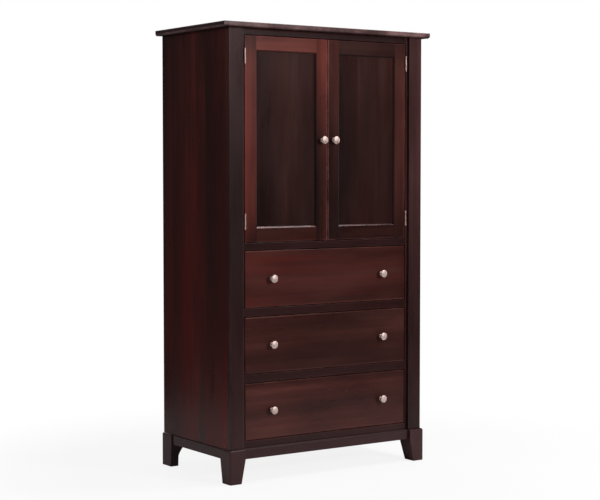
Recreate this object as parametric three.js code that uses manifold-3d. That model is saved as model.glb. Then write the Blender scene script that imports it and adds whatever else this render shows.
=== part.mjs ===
import * as THREE from 'three';
import Module from 'manifold-3d';
import { mergeVertices } from 'three/addons/utils/BufferGeometryUtils.js';

// A television armoire in stained hardwood: two frame-and-panel doors over three drawers.
// Millimetres, +Z up, the front faces -Y. Inside this file y = 0 is the front face of the posts and
// x = 0 the middle of the case. The last lines move the origin to the middle of the footprint.

const wasm = await Module();
wasm.setup();

// Case
const case_width = 962;
const case_depth = 533;
const total_height = 1829;
const joint_gap = 0.3;
const cut_overrun = 5;

// Top slab
const top_thickness = 22;
const top_overhang_side = 32.5;
const top_overhang_front = 18;
const top_overhang_back = 1.5;
const top_bevel_height = 6;
const top_bevel_width = 9;
const top_edge_ease = 2;

// Front posts: a face that stands proud of the doors, and a recessed strip beside the opening
const post_width = 65;
const post_side_face = 18;
const front_recess = 12;
const strip_width = 11;
const post_edge_ease = 2;

// Side panels, back panel and what they carry
const side_thickness = 18;
const back_thickness = 6;
const back_rebate_width = 10;
const cable_hole_radius = 38;
const cable_hole_height = 120;
const cable_hole_segments = 24;
const deck_thickness = 19;
const bottom_thickness = 12;
const shelf_thickness = 18.5;
const shelf_side_gap = 1.5;
const shelf_front_setback = 50;
const shelf_back_setback = 25;
const shelf_height_share = 0.709;
const peg_radius = 3;
const peg_length = 12;
const peg_setback = 55;
const peg_segments = 10;

// Front rails, from the floor up
const rail_thickness = 20;
const rail_edge_ease = 1;
const bottom_rail_height = 28.5;
const drawer_rail_height = 33;
const door_rail_height = 29;
const top_rail_height = 24;

// Door catch: a block on the back of the top rail that both doors close against
const catch_width = 56;
const catch_depth = 13;
const catch_height = 34;
const catch_drop = 16;

// Base
const base_height = 137;
const apron_height = 42;
const apron_thickness = 20;
const apron_bevel = 5;
const foot_proud_side = 8;
const foot_proud_front = 14;
const side_apron_step = 6;
const front_apron_step = 14;
const back_apron_setback = 8;
const foot_round = 7.5;
const foot_corner_round = 8;
const foot_inner_round = 2;
const foot_bottom_ease = 2;
const front_foot_width_top = 73;
const front_foot_width_bottom = 54;
const front_foot_depth_top = 77;
const front_foot_depth_bottom = 61;
const back_foot_width_top = 73;
const back_foot_width_bottom = 37;
const back_foot_depth_top = 76;
const back_foot_depth_bottom = 72;
const back_foot_straight_height = 40;
const foot_curve_power = 1.5;
const foot_levels = 6;
const round_steps = 3;

// Doors
const door_thickness = 20;
const door_gap_top = 2.5;
const door_gap_bottom = 2.5;
const door_meeting_gap = 3;
const stile_face_width = 54;
const door_rail_face_height = 55;
const sticking_bevel = 7;
const door_edge_ease = 2;
const door_panel_thickness = 6.4;
const panel_groove_depth = 9;
const tongue_length = 8;
const door_knob_inset = 27.5;

// Hinges: two flat leaves that nest in the gap between a door and the recessed strip
const hinge_height = 63.5;
const hinge_inset = 83;
const barrel_radius = 3.75;
const barrel_stand_off = 0.45;
const barrel_tip_ease = 0.6;
const barrel_segments = 16;
const pin_radius = 1.5;
const pin_bore_radius = 1.9;
const end_knuckle_height = 14;
const knuckle_gap = 0.4;
const leaf_thickness = 2;
const leaf_clearance = 1;
const leaf_depth = 18;
const leaf_bridge_depth = 6;
const leaf_root_offset = 2.5;

// Drawers
const drawer_opening_height = 232.5;
const drawer_gap_side = 3;
const drawer_gap_top = 3;
const drawer_gap_bottom = 2;
const drawer_front_thickness = 20;
const drawer_front_ease = 3;
const drawer_knob_share = 0.6815;
const box_side_thickness = 12;
const box_side_gap = 6.5;
const box_height = 190;
const box_lift = 6;
const box_length = 463;
const box_bottom_thickness = 6;
const box_bottom_raise = 12;

// Drawer runners: an L section, a plate under the drawer side and a lip beside it
const runner_plate_thickness = 18;
const runner_lip_thickness = 12;
const runner_lip_height = 16;
const runner_lip_gap = 1;
const runner_shelf_overlap = 2;

// Knobs
const knob_projection = 28.5;
const knob_head_radius = 16;
const knob_base_radius = 8;
const knob_neck_radius = 5;
const knob_flange_height = 2;
const knob_neck_height = 12;
const knob_rim_height = 22.5;
const knob_segments = 20;
const knob_curve_steps = 3;

// Finishes
const stained_case = { color: 0x3a1f1c, roughness: 0.42, metalness: 0 };
const stained_door = { color: 0x55291f, roughness: 0.4, metalness: 0 };
const stained_drawer = { color: 0x4e241c, roughness: 0.4, metalness: 0 };
const clear_maple = { color: 0xc79d6b, roughness: 0.5, metalness: 0 };
const stained_inside = { color: 0x44251f, roughness: 0.5, metalness: 0 };
const satin_nickel = { color: 0xc6c4c0, roughness: 0.3, metalness: 1 };

// Places worked out from the sizes above
const case_half = case_width / 2;
const inside_half = case_half - side_thickness;
const opening_half = case_half - post_width - strip_width;
const post_inner = case_half - post_width;
const front_face = front_recess;
const frame_back = front_recess + rail_thickness;
const case_top = total_height - top_thickness;
const back_inner = case_depth - back_thickness - joint_gap;
const bottom_rail_top = base_height + bottom_rail_height;
const drawer_pitch = drawer_opening_height + drawer_rail_height;
const drawer_names = ['drawer_top', 'drawer_middle', 'drawer_bottom'];
const drawer_floors = drawer_names.map((name, row) => (
  bottom_rail_top + (drawer_names.length - 1 - row) * drawer_pitch));
const door_rail_bottom = drawer_floors[0] + drawer_opening_height;
const deck_top = door_rail_bottom + door_rail_height;
const top_rail_bottom = case_top - top_rail_height;
const apron_bottom = base_height - apron_height;
const shelf_bottom = deck_top + (case_top - deck_top) * shelf_height_share;
const peg_front = frame_back + shelf_front_setback + peg_setback;
const peg_back = back_inner - shelf_back_setback - peg_setback;

const hinge_side_gap = leaf_thickness + leaf_clearance;
const door_outer = opening_half - hinge_side_gap;
const door_inner = door_meeting_gap / 2;
const door_bottom = deck_top + door_gap_bottom;
const door_top = top_rail_bottom - door_gap_top;
const stile_width = stile_face_width + sticking_bevel;
const door_rail_width = door_rail_face_height + sticking_bevel;
const hinge_axis_x = opening_half - hinge_side_gap / 2;
const hinge_axis_y = front_face - barrel_stand_off - barrel_radius;

const furniture = new THREE.Group();

// Turns a closed geometry into a solid for cutting and joining
function toSolid(geometry) {
  const bare = geometry.clone();
  bare.deleteAttribute('normal');
  bare.deleteAttribute('uv');
  const merged = mergeVertices(bare);
  return new wasm.Manifold(new wasm.Mesh({
    numProp: 3,
    vertProperties: new Float32Array(merged.attributes.position.array),
    triVerts: new Uint32Array(merged.index.array),
  }));
}

function toGeometry(solid) {
  const mesh = solid.getMesh();
  const geometry = new THREE.BufferGeometry();
  geometry.setAttribute('position', new THREE.BufferAttribute(mesh.vertProperties, mesh.numProp));
  geometry.setIndex(new THREE.BufferAttribute(mesh.triVerts, 1));
  geometry.computeVertexNormals();
  return geometry;
}

function joined(first, ...rest) {
  return toGeometry(rest.reduce((whole, piece) => whole.add(toSolid(piece)), toSolid(first)));
}

function cut(first, ...cutters) {
  return toGeometry(cutters.reduce((rest, cutter) => rest.subtract(toSolid(cutter)), toSolid(first)));
}

function shared(first, second) {
  return toGeometry(toSolid(first).intersect(toSolid(second)));
}

// A mirror image across x = 0, with its triangles turned so that they still face out
function mirrored(geometry) {
  const copy = geometry.index ? geometry.clone() : mergeVertices(geometry);
  copy.scale(-1, 1, 1);
  const corners = copy.index.array;
  for (let i = 0; i < corners.length; i += 3) {
    [corners[i + 1], corners[i + 2]] = [corners[i + 2], corners[i + 1]];
  }
  copy.computeVertexNormals();
  return copy;
}

function outline(points) {
  return new THREE.Shape(points.map(([u, v]) => new THREE.Vector2(u, v)));
}

// Extrusions along each axis: the outline holds (x, y), (y, z) or (x, z). The ends are set to low and
// high rather than moved there, so that pieces which share a face share its exact place.
function alongZ(shape, low, high, curveSegments = 1) {
  const geometry = new THREE.ExtrudeGeometry(shape, { depth: 1, bevelEnabled: false, curveSegments });
  const { position } = geometry.attributes;
  for (let i = 0; i < position.count; i += 1) {
    position.setZ(i, position.getZ(i) === 0 ? low : high);
  }
  return geometry;
}

function alongX(shape, low, high) {
  const turn = new THREE.Matrix4().makeBasis(
    new THREE.Vector3(0, 1, 0), new THREE.Vector3(0, 0, 1), new THREE.Vector3(1, 0, 0));
  return alongZ(shape, low, high).applyMatrix4(turn);
}

function alongY(shape, low, high, curveSegments) {
  const turn = new THREE.Matrix4().makeBasis(
    new THREE.Vector3(1, 0, 0), new THREE.Vector3(0, 0, 1), new THREE.Vector3(0, -1, 0));
  return alongZ(shape, -high, -low, curveSegments).applyMatrix4(turn);
}

function block(x0, x1, y0, y1, z0, z1) {
  return alongZ(outline([[x0, y0], [x1, y0], [x1, y1], [x0, y1]]), z0, z1);
}

// A closed skin over rings of points, each ring counterclockwise seen from the end it leads to
function loft(rings) {
  const count = rings[0].length;
  const positions = rings.flat().flatMap((point) => point.toArray());
  const index = [];
  const last = (rings.length - 1) * count;
  for (let level = 0; level < rings.length - 1; level += 1) {
    for (let corner = 0; corner < count; corner += 1) {
      const next = (corner + 1) % count;
      const low = level * count;
      const high = low + count;
      index.push(low + corner, low + next, high + next);
      index.push(low + corner, high + next, high + corner);
    }
  }
  for (let corner = 1; corner < count - 1; corner += 1) {
    index.push(0, corner + 1, corner);
    index.push(last, last + corner, last + corner + 1);
  }
  const geometry = new THREE.BufferGeometry();
  geometry.setAttribute('position', new THREE.Float32BufferAttribute(positions, 3));
  geometry.setIndex(index);
  geometry.computeVertexNormals();
  return geometry;
}

function place(parent, name, geometry, finish, x = 0, y = 0, z = 0) {
  const mesh = new THREE.Mesh(geometry, new THREE.MeshStandardMaterial(finish));
  mesh.name = name;
  mesh.position.set(x, y, z);
  parent.add(mesh);
}

// Top slab: square at the back, bevelled underneath at the front and the ends
function topSlab() {
  const ring = (z, inset) => {
    const half = case_half + top_overhang_side - inset;
    const front = -top_overhang_front + inset;
    const back = case_depth + top_overhang_back;
    return [[-half, front], [half, front], [half, back], [-half, back]]
      .map(([x, y]) => new THREE.Vector3(x, y, z));
  };
  return loft([
    ring(case_top, top_bevel_width),
    ring(case_top + top_bevel_height, 0),
    ring(total_height - top_edge_ease, 0),
    ring(total_height, top_edge_ease),
  ]);
}

// Right post, seen from above: the proud face, the recessed strip, and a tongue behind the side panel
function post() {
  const shape = outline([
    [post_inner + post_edge_ease, 0],
    [case_half - post_edge_ease, 0],
    [case_half, post_edge_ease],
    [case_half, post_side_face],
    [inside_half - joint_gap, post_side_face],
    [inside_half - joint_gap, frame_back],
    [opening_half, frame_back],
    [opening_half, front_face],
    [post_inner, front_face],
    [post_inner, post_edge_ease],
  ]);
  return alongZ(shape, base_height, case_top);
}

// Right side panel: rebated for the back, with the two pegs that carry the shelf
function sidePanel() {
  const shape = outline([
    [inside_half, post_side_face],
    [case_half, post_side_face],
    [case_half, case_depth],
    [inside_half + back_rebate_width, case_depth],
    [inside_half + back_rebate_width, back_inner],
    [inside_half, back_inner],
  ]);
  const pegs = [peg_front, peg_back].map((y) => {
    const peg = new THREE.CylinderGeometry(peg_radius, peg_radius, peg_length * 2, peg_segments);
    return peg.rotateZ(Math.PI / 2).translate(inside_half, y, shelf_bottom - joint_gap - peg_radius);
  });
  return joined(alongZ(shape, base_height, case_top), ...pegs);
}

// Back panel: thin board in the rebates of the side panels, with a round hole for the cables
function backPanel() {
  const half = inside_half + back_rebate_width - joint_gap;
  const shape = outline([[-half, base_height], [half, base_height], [half, case_top], [-half, case_top]]);
  const hole = new THREE.Path();
  hole.absarc(0, deck_top + cable_hole_height, cable_hole_radius, 0, Math.PI * 2, true);
  shape.holes.push(hole);
  return alongY(shape, back_inner + joint_gap, case_depth, cable_hole_segments / 2);
}

// A front rail between the recessed strips, with its front edges eased
function frontRail(low, high) {
  const shape = outline([
    [front_face + rail_edge_ease, low],
    [frame_back, low],
    [frame_back, high],
    [front_face + rail_edge_ease, high],
    [front_face, high - rail_edge_ease],
    [front_face, low + rail_edge_ease],
  ]);
  return alongX(shape, -opening_half, opening_half);
}

// The top rail with the catch on its back: its lower half hangs behind the tops of the doors
function topRail() {
  const half = catch_width / 2;
  const back = frame_back + catch_depth;
  const low = top_rail_bottom - catch_drop;
  return joined(frontRail(top_rail_bottom, case_top),
    block(-half, half, frame_back, back, top_rail_bottom, low + catch_height),
    block(-half, half, frame_back + joint_gap, back, low, low + catch_height));
}

// One level of a foot: a rectangle with rounded corners, counterclockwise from its outer front corner
function footRing(z, x0, x1, y0, y1, radii) {
  const corners = [
    [x0 + radii[0], y0 + radii[0], Math.PI],
    [x1 - radii[1], y0 + radii[1], 1.5 * Math.PI],
    [x1 - radii[2], y1 - radii[2], 0],
    [x0 + radii[3], y1 - radii[3], 0.5 * Math.PI],
  ];
  return corners.flatMap(([x, y, start], corner) => {
    const steps = Array.from({ length: round_steps + 1 }, (_, step) => step / round_steps);
    return steps.map((share) => {
      const angle = start + share * Math.PI / 2;
      const reach = radii[corner];
      return new THREE.Vector3(x + reach * Math.cos(angle), y + reach * Math.sin(angle), z);
    });
  });
}

// How far an outer face draws in at a height: an eased bottom edge and a rounded upper edge
function footInset(z) {
  const into_round = z - (base_height - foot_round);
  if (into_round > 0) {
    return foot_round - Math.sqrt(Math.max(0, foot_round ** 2 - into_round ** 2));
  }
  return Math.max(0, foot_bottom_ease - z);
}

function footHeights() {
  const taper = Array.from({ length: foot_levels }, (_, level) => (
    foot_bottom_ease + (apron_bottom - foot_bottom_ease) * level / (foot_levels - 1)));
  const rounding = Array.from({ length: round_steps + 1 }, (_, step) => (
    base_height - foot_round + foot_round * Math.sin(step / round_steps * Math.PI / 2)));
  return [0, ...taper, ...rounding];
}

// Left front foot: a block that tapers on its two inner faces up to the aprons
function frontFoot() {
  const outer_x = -case_half - foot_proud_side;
  const outer_y = -foot_proud_front;
  return loft(footHeights().map((z) => {
    const share = Math.min(1, z / apron_bottom);
    const inset = footInset(z);
    const ease = Math.max(0, foot_bottom_ease - z);
    const width = front_foot_width_bottom + (front_foot_width_top - front_foot_width_bottom) * share;
    const depth = front_foot_depth_bottom + (front_foot_depth_top - front_foot_depth_bottom) * share;
    return footRing(z, outer_x + inset, outer_x + width - ease, outer_y + inset, outer_y + depth - ease,
      [foot_corner_round, foot_inner_round, foot_inner_round, foot_inner_round]);
  }));
}

// Left back foot: deeper than it is wide, its inner face curving out to meet the back apron
function backFoot() {
  const outer_x = -case_half - foot_proud_side;
  return loft(footHeights().map((z) => {
    const share = Math.min(1, z / apron_bottom);
    const rise = Math.max(0, z - back_foot_straight_height) / (apron_bottom - back_foot_straight_height);
    const flare = Math.min(1, rise) ** foot_curve_power;
    const inset = footInset(z);
    const ease = Math.max(0, foot_bottom_ease - z);
    const width = back_foot_width_bottom + (back_foot_width_top - back_foot_width_bottom) * flare;
    const depth = back_foot_depth_bottom + (back_foot_depth_top - back_foot_depth_bottom) * share;
    return footRing(z, outer_x + inset, outer_x + width - ease, case_depth - depth + ease, case_depth,
      [foot_inner_round, foot_inner_round, foot_inner_round, foot_inner_round]);
  }));
}

// Aprons: boards between the feet, bevelled along their upper outer edge
function apronOutline(face) {
  return outline([
    [face, apron_bottom],
    [face + apron_thickness, apron_bottom],
    [face + apron_thickness, base_height],
    [face + apron_bevel, base_height],
    [face, base_height - apron_bevel],
  ]);
}

function frontApron() {
  const half = case_half + foot_proud_side - front_foot_width_top;
  return alongX(apronOutline(front_apron_step - foot_proud_front), -half, half);
}

function sideApron() {
  const face = -case_half - foot_proud_side + side_apron_step;
  const front = front_foot_depth_top - foot_proud_front;
  const back = case_depth - back_foot_depth_top;
  return alongY(apronOutline(face), front, back);
}

function backApron() {
  const half = case_half + foot_proud_side - back_foot_width_top;
  const back = case_depth - back_apron_setback;
  return block(-half, half, back - apron_thickness, back, apron_bottom, base_height);
}

// Adjustable shelf, with a gap to the side panels
function shelf() {
  const half = inside_half - shelf_side_gap;
  return block(-half, half, frame_back + shelf_front_setback, back_inner - shelf_back_setback,
    shelf_bottom, shelf_bottom + shelf_thickness);
}

// Right drawer runner at the height of a drawer floor
function runner(floor) {
  const box_half = opening_half - box_side_gap;
  const plate_inner = box_half - box_side_thickness - runner_shelf_overlap;
  const plate_top = floor + box_lift - joint_gap;
  const lip_inner = box_half + runner_lip_gap;
  const shape = outline([
    [plate_inner, plate_top - runner_plate_thickness],
    [inside_half, plate_top - runner_plate_thickness],
    [inside_half, plate_top],
    [lip_inner + runner_lip_thickness, plate_top],
    [lip_inner + runner_lip_thickness, plate_top + runner_lip_height],
    [lip_inner, plate_top + runner_lip_height],
    [lip_inner, plate_top],
    [plate_inner, plate_top],
  ]);
  return alongY(shape, frame_back + joint_gap, back_inner);
}

// Knob, turned about the y axis with its foot at y = 0: flange, coved neck, flared head and low dome
function knob() {
  const quarter = (steps, from, to) => Array.from({ length: steps }, (_, step) => (
    from + (to - from) * (step + 1) / steps));
  const cove = quarter(knob_curve_steps, 0, Math.PI / 2).map((angle) => new THREE.Vector2(
    knob_neck_radius + (knob_base_radius - knob_neck_radius) * (1 - Math.sin(angle)),
    knob_flange_height + (knob_neck_height - knob_flange_height) * (1 - Math.cos(angle))));
  const flare = quarter(knob_curve_steps, 0, Math.PI / 2).map((angle) => new THREE.Vector2(
    knob_neck_radius + (knob_head_radius - knob_neck_radius) * (1 - Math.cos(angle)),
    knob_neck_height + (knob_rim_height - knob_neck_height) * Math.sin(angle)));
  const dome = quarter(knob_curve_steps + 1, 0, Math.PI / 2).map((angle) => new THREE.Vector2(
    knob_head_radius * Math.cos(angle),
    knob_rim_height + (knob_projection - knob_rim_height) * Math.sin(angle)));
  dome[dome.length - 1].x = 0;
  const profile = [
    new THREE.Vector2(0, 0),
    new THREE.Vector2(knob_base_radius, 0),
    new THREE.Vector2(knob_base_radius, knob_flange_height),
    ...cove, ...flare, ...dome,
  ];
  return new THREE.LatheGeometry(profile, knob_segments).rotateX(Math.PI);
}

// A turned piece about the hinge axis: radius and height pairs, with z = 0 at the middle of the hinge
function turned(points) {
  const profile = points.map(([radius, height]) => new THREE.Vector2(radius, height));
  return new THREE.LatheGeometry(profile, barrel_segments).rotateX(Math.PI / 2);
}

// Sizes that both leaves of a hinge share, seen from the hinge axis
const hinge_half = hinge_height / 2;
const knuckle_low = hinge_half - end_knuckle_height;
const leaf_face = hinge_side_gap / 2;
const leaf_reach = front_face + leaf_depth - hinge_axis_y;

// Case leaf of a right-hand hinge: two end knuckles with the pin between them, and a U of plate
function caseLeaf() {
  const half = hinge_half;
  const barrel = turned([
    [0, -half],
    [barrel_radius - barrel_tip_ease, -half],
    [barrel_radius, -half + barrel_tip_ease],
    [barrel_radius, -knuckle_low],
    [pin_radius, -knuckle_low],
    [pin_radius, knuckle_low],
    [barrel_radius, knuckle_low],
    [barrel_radius, half - barrel_tip_ease],
    [barrel_radius - barrel_tip_ease, half],
    [0, half],
  ]);
  const inner = leaf_face - leaf_thickness;
  const bridge = leaf_reach - leaf_bridge_depth;
  const legs = [[-half, -knuckle_low], [knuckle_low, half]]
    .map(([low, high]) => block(inner, leaf_face, 0, leaf_reach, low, high));
  return joined(barrel, ...legs, block(inner, leaf_face, bridge, leaf_reach, -half, half));
}

// Door leaf of a right-hand hinge: the middle knuckle, bored for the pin, and a plate that nests in the U
function doorLeaf() {
  const half = knuckle_low - knuckle_gap;
  const barrel = turned([
    [pin_bore_radius, -half],
    [barrel_radius, -half],
    [barrel_radius, half],
    [pin_bore_radius, half],
    [pin_bore_radius, -half],
  ]);
  const reach = leaf_reach - leaf_bridge_depth - knuckle_gap;
  return joined(barrel,
    block(-leaf_face, leaf_thickness - leaf_face, leaf_root_offset, reach, -half, half));
}

// Doors are drawn for the right side from the hinge axis, then mirrored for the left.
// Plan view of a stile: w grows from its outer edge to its inner edge, y from its front face back.
const groove_front = front_face + sticking_bevel;
const groove_back = groove_front + door_panel_thickness + 2 * joint_gap;
const door_back = front_face + door_thickness;

function stilePoints(outer, direction) {
  const at = (w) => outer + direction * w;
  return [
    [at(door_edge_ease), front_face],
    [at(stile_face_width), front_face],
    [at(stile_width), groove_front],
    [at(stile_width - panel_groove_depth), groove_front],
    [at(stile_width - panel_groove_depth), groove_back],
    [at(stile_width), groove_back],
    [at(stile_width), door_back],
    [at(0), door_back],
    [at(0), front_face + door_edge_ease],
  ];
}

function stile(outer, direction) {
  return alongZ(outline(stilePoints(outer, direction)), door_bottom, door_top);
}

// Cross-section of a door rail: h grows from its outer edge to the panel
function railOutline(outer, direction) {
  const at = (h) => outer + direction * h;
  return outline([
    [front_face, at(door_edge_ease)],
    [front_face + door_edge_ease, at(0)],
    [door_back, at(0)],
    [door_back, at(door_rail_width)],
    [groove_back, at(door_rail_width)],
    [groove_back, at(door_rail_width - panel_groove_depth)],
    [groove_front, at(door_rail_width - panel_groove_depth)],
    [groove_front, at(door_rail_width)],
    [front_face, at(door_rail_face_height)],
  ]);
}

// A door rail is that section with its ends coped over the bevels of the stiles, and tongued into
// their grooves
function doorRail(outer, direction) {
  const low = door_inner + stile_width;
  const high = door_outer - stile_width;
  const plan = outline([
    [low - sticking_bevel + joint_gap, front_face],
    [high + sticking_bevel - joint_gap, front_face],
    [high - joint_gap, groove_front],
    [high - joint_gap, groove_front + joint_gap],
    [high + tongue_length, groove_front + joint_gap],
    [high + tongue_length, groove_back - joint_gap],
    [high - joint_gap, groove_back - joint_gap],
    [high - joint_gap, door_back],
    [low + joint_gap, door_back],
    [low + joint_gap, groove_back - joint_gap],
    [low - tongue_length, groove_back - joint_gap],
    [low - tongue_length, groove_front + joint_gap],
    [low + joint_gap, groove_front + joint_gap],
    [low + joint_gap, groove_front],
  ]);
  const body = alongX(railOutline(outer, direction), low - stile_width, high + stile_width);
  return shared(body, alongZ(plan, door_bottom, door_top));
}

function doorPanel() {
  return block(
    door_inner + stile_width - tongue_length, door_outer - stile_width + tongue_length,
    groove_front + joint_gap, groove_front + joint_gap + door_panel_thickness,
    door_bottom + door_rail_width - tongue_length, door_top - door_rail_width + tongue_length);
}

// Drawer front: a board with its four front edges eased
function drawerFront() {
  const half = opening_half - drawer_gap_side;
  const height = drawer_opening_height - drawer_gap_top - drawer_gap_bottom;
  const ring = (y, inset) => {
    const reach = half - inset;
    const low = drawer_gap_bottom + inset;
    const high = drawer_gap_bottom + height - inset;
    return [[-reach, low], [-reach, high], [reach, high], [reach, low]]
      .map(([x, z]) => new THREE.Vector3(x, y, z));
  };
  const back = front_face + drawer_front_thickness;
  const eased = front_face + drawer_front_ease;
  return loft([ring(front_face, drawer_front_ease), ring(eased, 0), ring(back, 0)]);
}

// Drawer box: four walls round a bottom that is let in above their lower edges
function drawerBox() {
  const half = opening_half - box_side_gap;
  const front = front_face + drawer_front_thickness;
  const back = front + box_length;
  const low = box_lift;
  const high = box_lift + box_height;
  const floor = low + box_bottom_raise;
  const inner = half - box_side_thickness;
  const inner_front = front + box_side_thickness;
  const inner_back = back - box_side_thickness;
  return cut(block(-half, half, front, back, low, high),
    block(-inner, inner, inner_front, inner_back, floor + box_bottom_thickness, high + cut_overrun),
    block(-inner, inner, inner_front, inner_back, low - cut_overrun, floor));
}

// The case
const carcass = new THREE.Group();
furniture.add(carcass);
place(carcass, 'top_slab', topSlab(), stained_case);
for (const [side, turn] of [['left', mirrored], ['right', (geometry) => geometry]]) {
  place(carcass, `post_${side}`, turn(post()), stained_case);
  place(carcass, `side_panel_${side}`, turn(sidePanel()), stained_case);
}
place(carcass, 'back_panel', backPanel(), stained_inside);
place(carcass, 'rail_top', topRail(), stained_case);
place(carcass, 'rail_under_doors', frontRail(door_rail_bottom, deck_top), stained_case);
place(carcass, 'rail_under_top_drawer',
  frontRail(drawer_floors[0] - drawer_rail_height, drawer_floors[0]), stained_case);
place(carcass, 'rail_under_middle_drawer',
  frontRail(drawer_floors[1] - drawer_rail_height, drawer_floors[1]), stained_case);
place(carcass, 'rail_bottom', frontRail(base_height, bottom_rail_top), stained_case);
place(carcass, 'tv_deck',
  block(-inside_half, inside_half, frame_back, back_inner, deck_top - deck_thickness, deck_top),
  stained_inside);
place(carcass, 'bottom_panel',
  block(-inside_half, inside_half, frame_back, back_inner, base_height, base_height + bottom_thickness),
  stained_inside);
place(carcass, 'adjustable_shelf', shelf(), stained_inside);

// The base
const base = new THREE.Group();
furniture.add(base);
place(base, 'apron_front', frontApron(), stained_case);
place(base, 'apron_back', backApron(), stained_case);
for (const [side, turn] of [['left', (geometry) => geometry], ['right', mirrored]]) {
  place(base, `apron_${side}`, turn(sideApron()), stained_case);
  place(base, `foot_front_${side}`, turn(frontFoot()), stained_case);
  place(base, `foot_back_${side}`, turn(backFoot()), stained_case);
}

// The doors: each group stands on its hinge axis
const hinge_heights = [['top', door_top - hinge_inset], ['bottom', door_bottom + hinge_inset]];
for (const [side, sign] of [['left', -1], ['right', 1]]) {
  const turn = sign < 0 ? mirrored : (geometry) => geometry;
  const door = new THREE.Group();
  door.position.set(sign * hinge_axis_x, hinge_axis_y, 0);
  furniture.add(door);
  const fromAxis = (geometry) => turn(geometry.translate(-hinge_axis_x, -hinge_axis_y, 0));
  const name = `door_${side}`;
  place(door, `${name}_stile_hinge_side`, fromAxis(stile(door_outer, -1)), stained_door);
  place(door, `${name}_stile_knob_side`, fromAxis(stile(door_inner, 1)), stained_door);
  place(door, `${name}_rail_top`, fromAxis(doorRail(door_top, -1)), stained_door);
  place(door, `${name}_rail_bottom`, fromAxis(doorRail(door_bottom, 1)), stained_door);
  place(door, `${name}_panel`, fromAxis(doorPanel()), stained_case);
  const knob_x = sign * (door_inner + door_knob_inset - hinge_axis_x);
  const knob_z = (door_top + door_bottom) / 2;
  place(door, `${name}_knob`, knob(), satin_nickel, knob_x, front_face - hinge_axis_y, knob_z);
  for (const [level, z] of hinge_heights) {
    place(door, `${name}_hinge_${level}_door_leaf`, turn(doorLeaf()), satin_nickel, 0, 0, z);
    place(carcass, `${name}_hinge_${level}_case_leaf`, turn(caseLeaf()), satin_nickel,
      sign * hinge_axis_x, hinge_axis_y, z);
  }
}

// The drawers: each group stands on the top of the rail below it
drawer_floors.forEach((floor, row) => {
  const name = drawer_names[row];
  const drawer = new THREE.Group();
  drawer.position.set(0, 0, floor);
  furniture.add(drawer);
  place(drawer, `${name}_front`, drawerFront(), stained_drawer);
  place(drawer, `${name}_box`, drawerBox(), clear_maple);
  const knob_z = (drawer_gap_bottom + drawer_opening_height - drawer_gap_top) / 2;
  for (const [side, sign] of [['left', -1], ['right', 1]]) {
    const knob_x = sign * opening_half * drawer_knob_share;
    place(drawer, `${name}_knob_${side}`, knob(), satin_nickel, knob_x, front_face, knob_z);
    const rail = sign < 0 ? mirrored(runner(floor)) : runner(floor);
    place(carcass, `${name}_runner_${side}`, rail, clear_maple);
  }
});

// The origin is the middle of the footprint, on the floor
furniture.position.y = (top_overhang_front - case_depth - top_overhang_back) / 2;
furniture.updateMatrixWorld(true);

export default furniture;
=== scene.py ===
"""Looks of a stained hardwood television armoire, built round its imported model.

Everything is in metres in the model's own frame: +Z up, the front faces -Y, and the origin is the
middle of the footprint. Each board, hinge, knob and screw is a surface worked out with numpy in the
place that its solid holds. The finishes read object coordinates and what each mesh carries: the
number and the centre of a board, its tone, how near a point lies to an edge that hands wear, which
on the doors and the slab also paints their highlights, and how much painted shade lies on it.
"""

import logging
import math
from collections.abc import Callable, Mapping, Sequence
from dataclasses import dataclass, replace
from enum import Enum, StrEnum

import bpy
import numpy as np
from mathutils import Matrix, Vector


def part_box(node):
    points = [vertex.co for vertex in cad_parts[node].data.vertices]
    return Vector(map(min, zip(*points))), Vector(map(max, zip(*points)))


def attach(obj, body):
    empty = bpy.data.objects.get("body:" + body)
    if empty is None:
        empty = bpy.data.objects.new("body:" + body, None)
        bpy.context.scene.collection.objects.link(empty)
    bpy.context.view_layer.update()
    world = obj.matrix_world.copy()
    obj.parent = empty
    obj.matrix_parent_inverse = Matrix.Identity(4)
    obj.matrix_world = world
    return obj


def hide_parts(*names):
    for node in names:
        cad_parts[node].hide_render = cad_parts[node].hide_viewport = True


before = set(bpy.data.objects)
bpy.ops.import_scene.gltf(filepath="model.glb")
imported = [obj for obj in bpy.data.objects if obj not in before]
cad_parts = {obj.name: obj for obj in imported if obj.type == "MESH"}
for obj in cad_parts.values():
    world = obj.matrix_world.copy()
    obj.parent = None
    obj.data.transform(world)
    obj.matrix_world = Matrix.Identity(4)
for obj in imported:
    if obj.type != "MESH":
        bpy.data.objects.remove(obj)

log = logging.getLogger("armoire")

Triple = tuple[float, float, float]
Colour = Triple
Corner = Triple
Pair = tuple[float, float]
Floats = tuple[float, ...]
Array = np.ndarray

ARC_STEPS = 4  # of a rounded edge
WEAR_FADE = 0.0024  # how far wear reaches past a rounded edge
LEAST_RADIUS = 0.00003  # of a corner that is drawn in
SEAM = 0.0003  # between pieces that only touch
SEED = 41
NOISE = (0.3, 0.7)  # where most of a noise lies
JITTER = (0.12, -0.1, 0.16, -0.14, 0.05)  # of the joints, in board widths
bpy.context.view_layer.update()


class Grain(Enum):
    """The way a board's grain runs: the two axes of its cross-section and the long one."""

    UPRIGHT = (0, 1, 2)
    ACROSS = (1, 2, 0)
    DEEP = (2, 0, 1)

    @property
    def turn(self) -> Triple:
        """Angles of the turn that lays this grain along X."""
        quarter = math.pi / 2
        turns = {"UPRIGHT": (0, quarter, 0), "ACROSS": (0, 0, 0), "DEEP": (0, 0, -quarter)}
        return turns[self.name]


class Row(StrEnum):
    """The drawers from the top down."""

    TOP = "top"
    MIDDLE = "middle"
    BOTTOM = "bottom"


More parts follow.
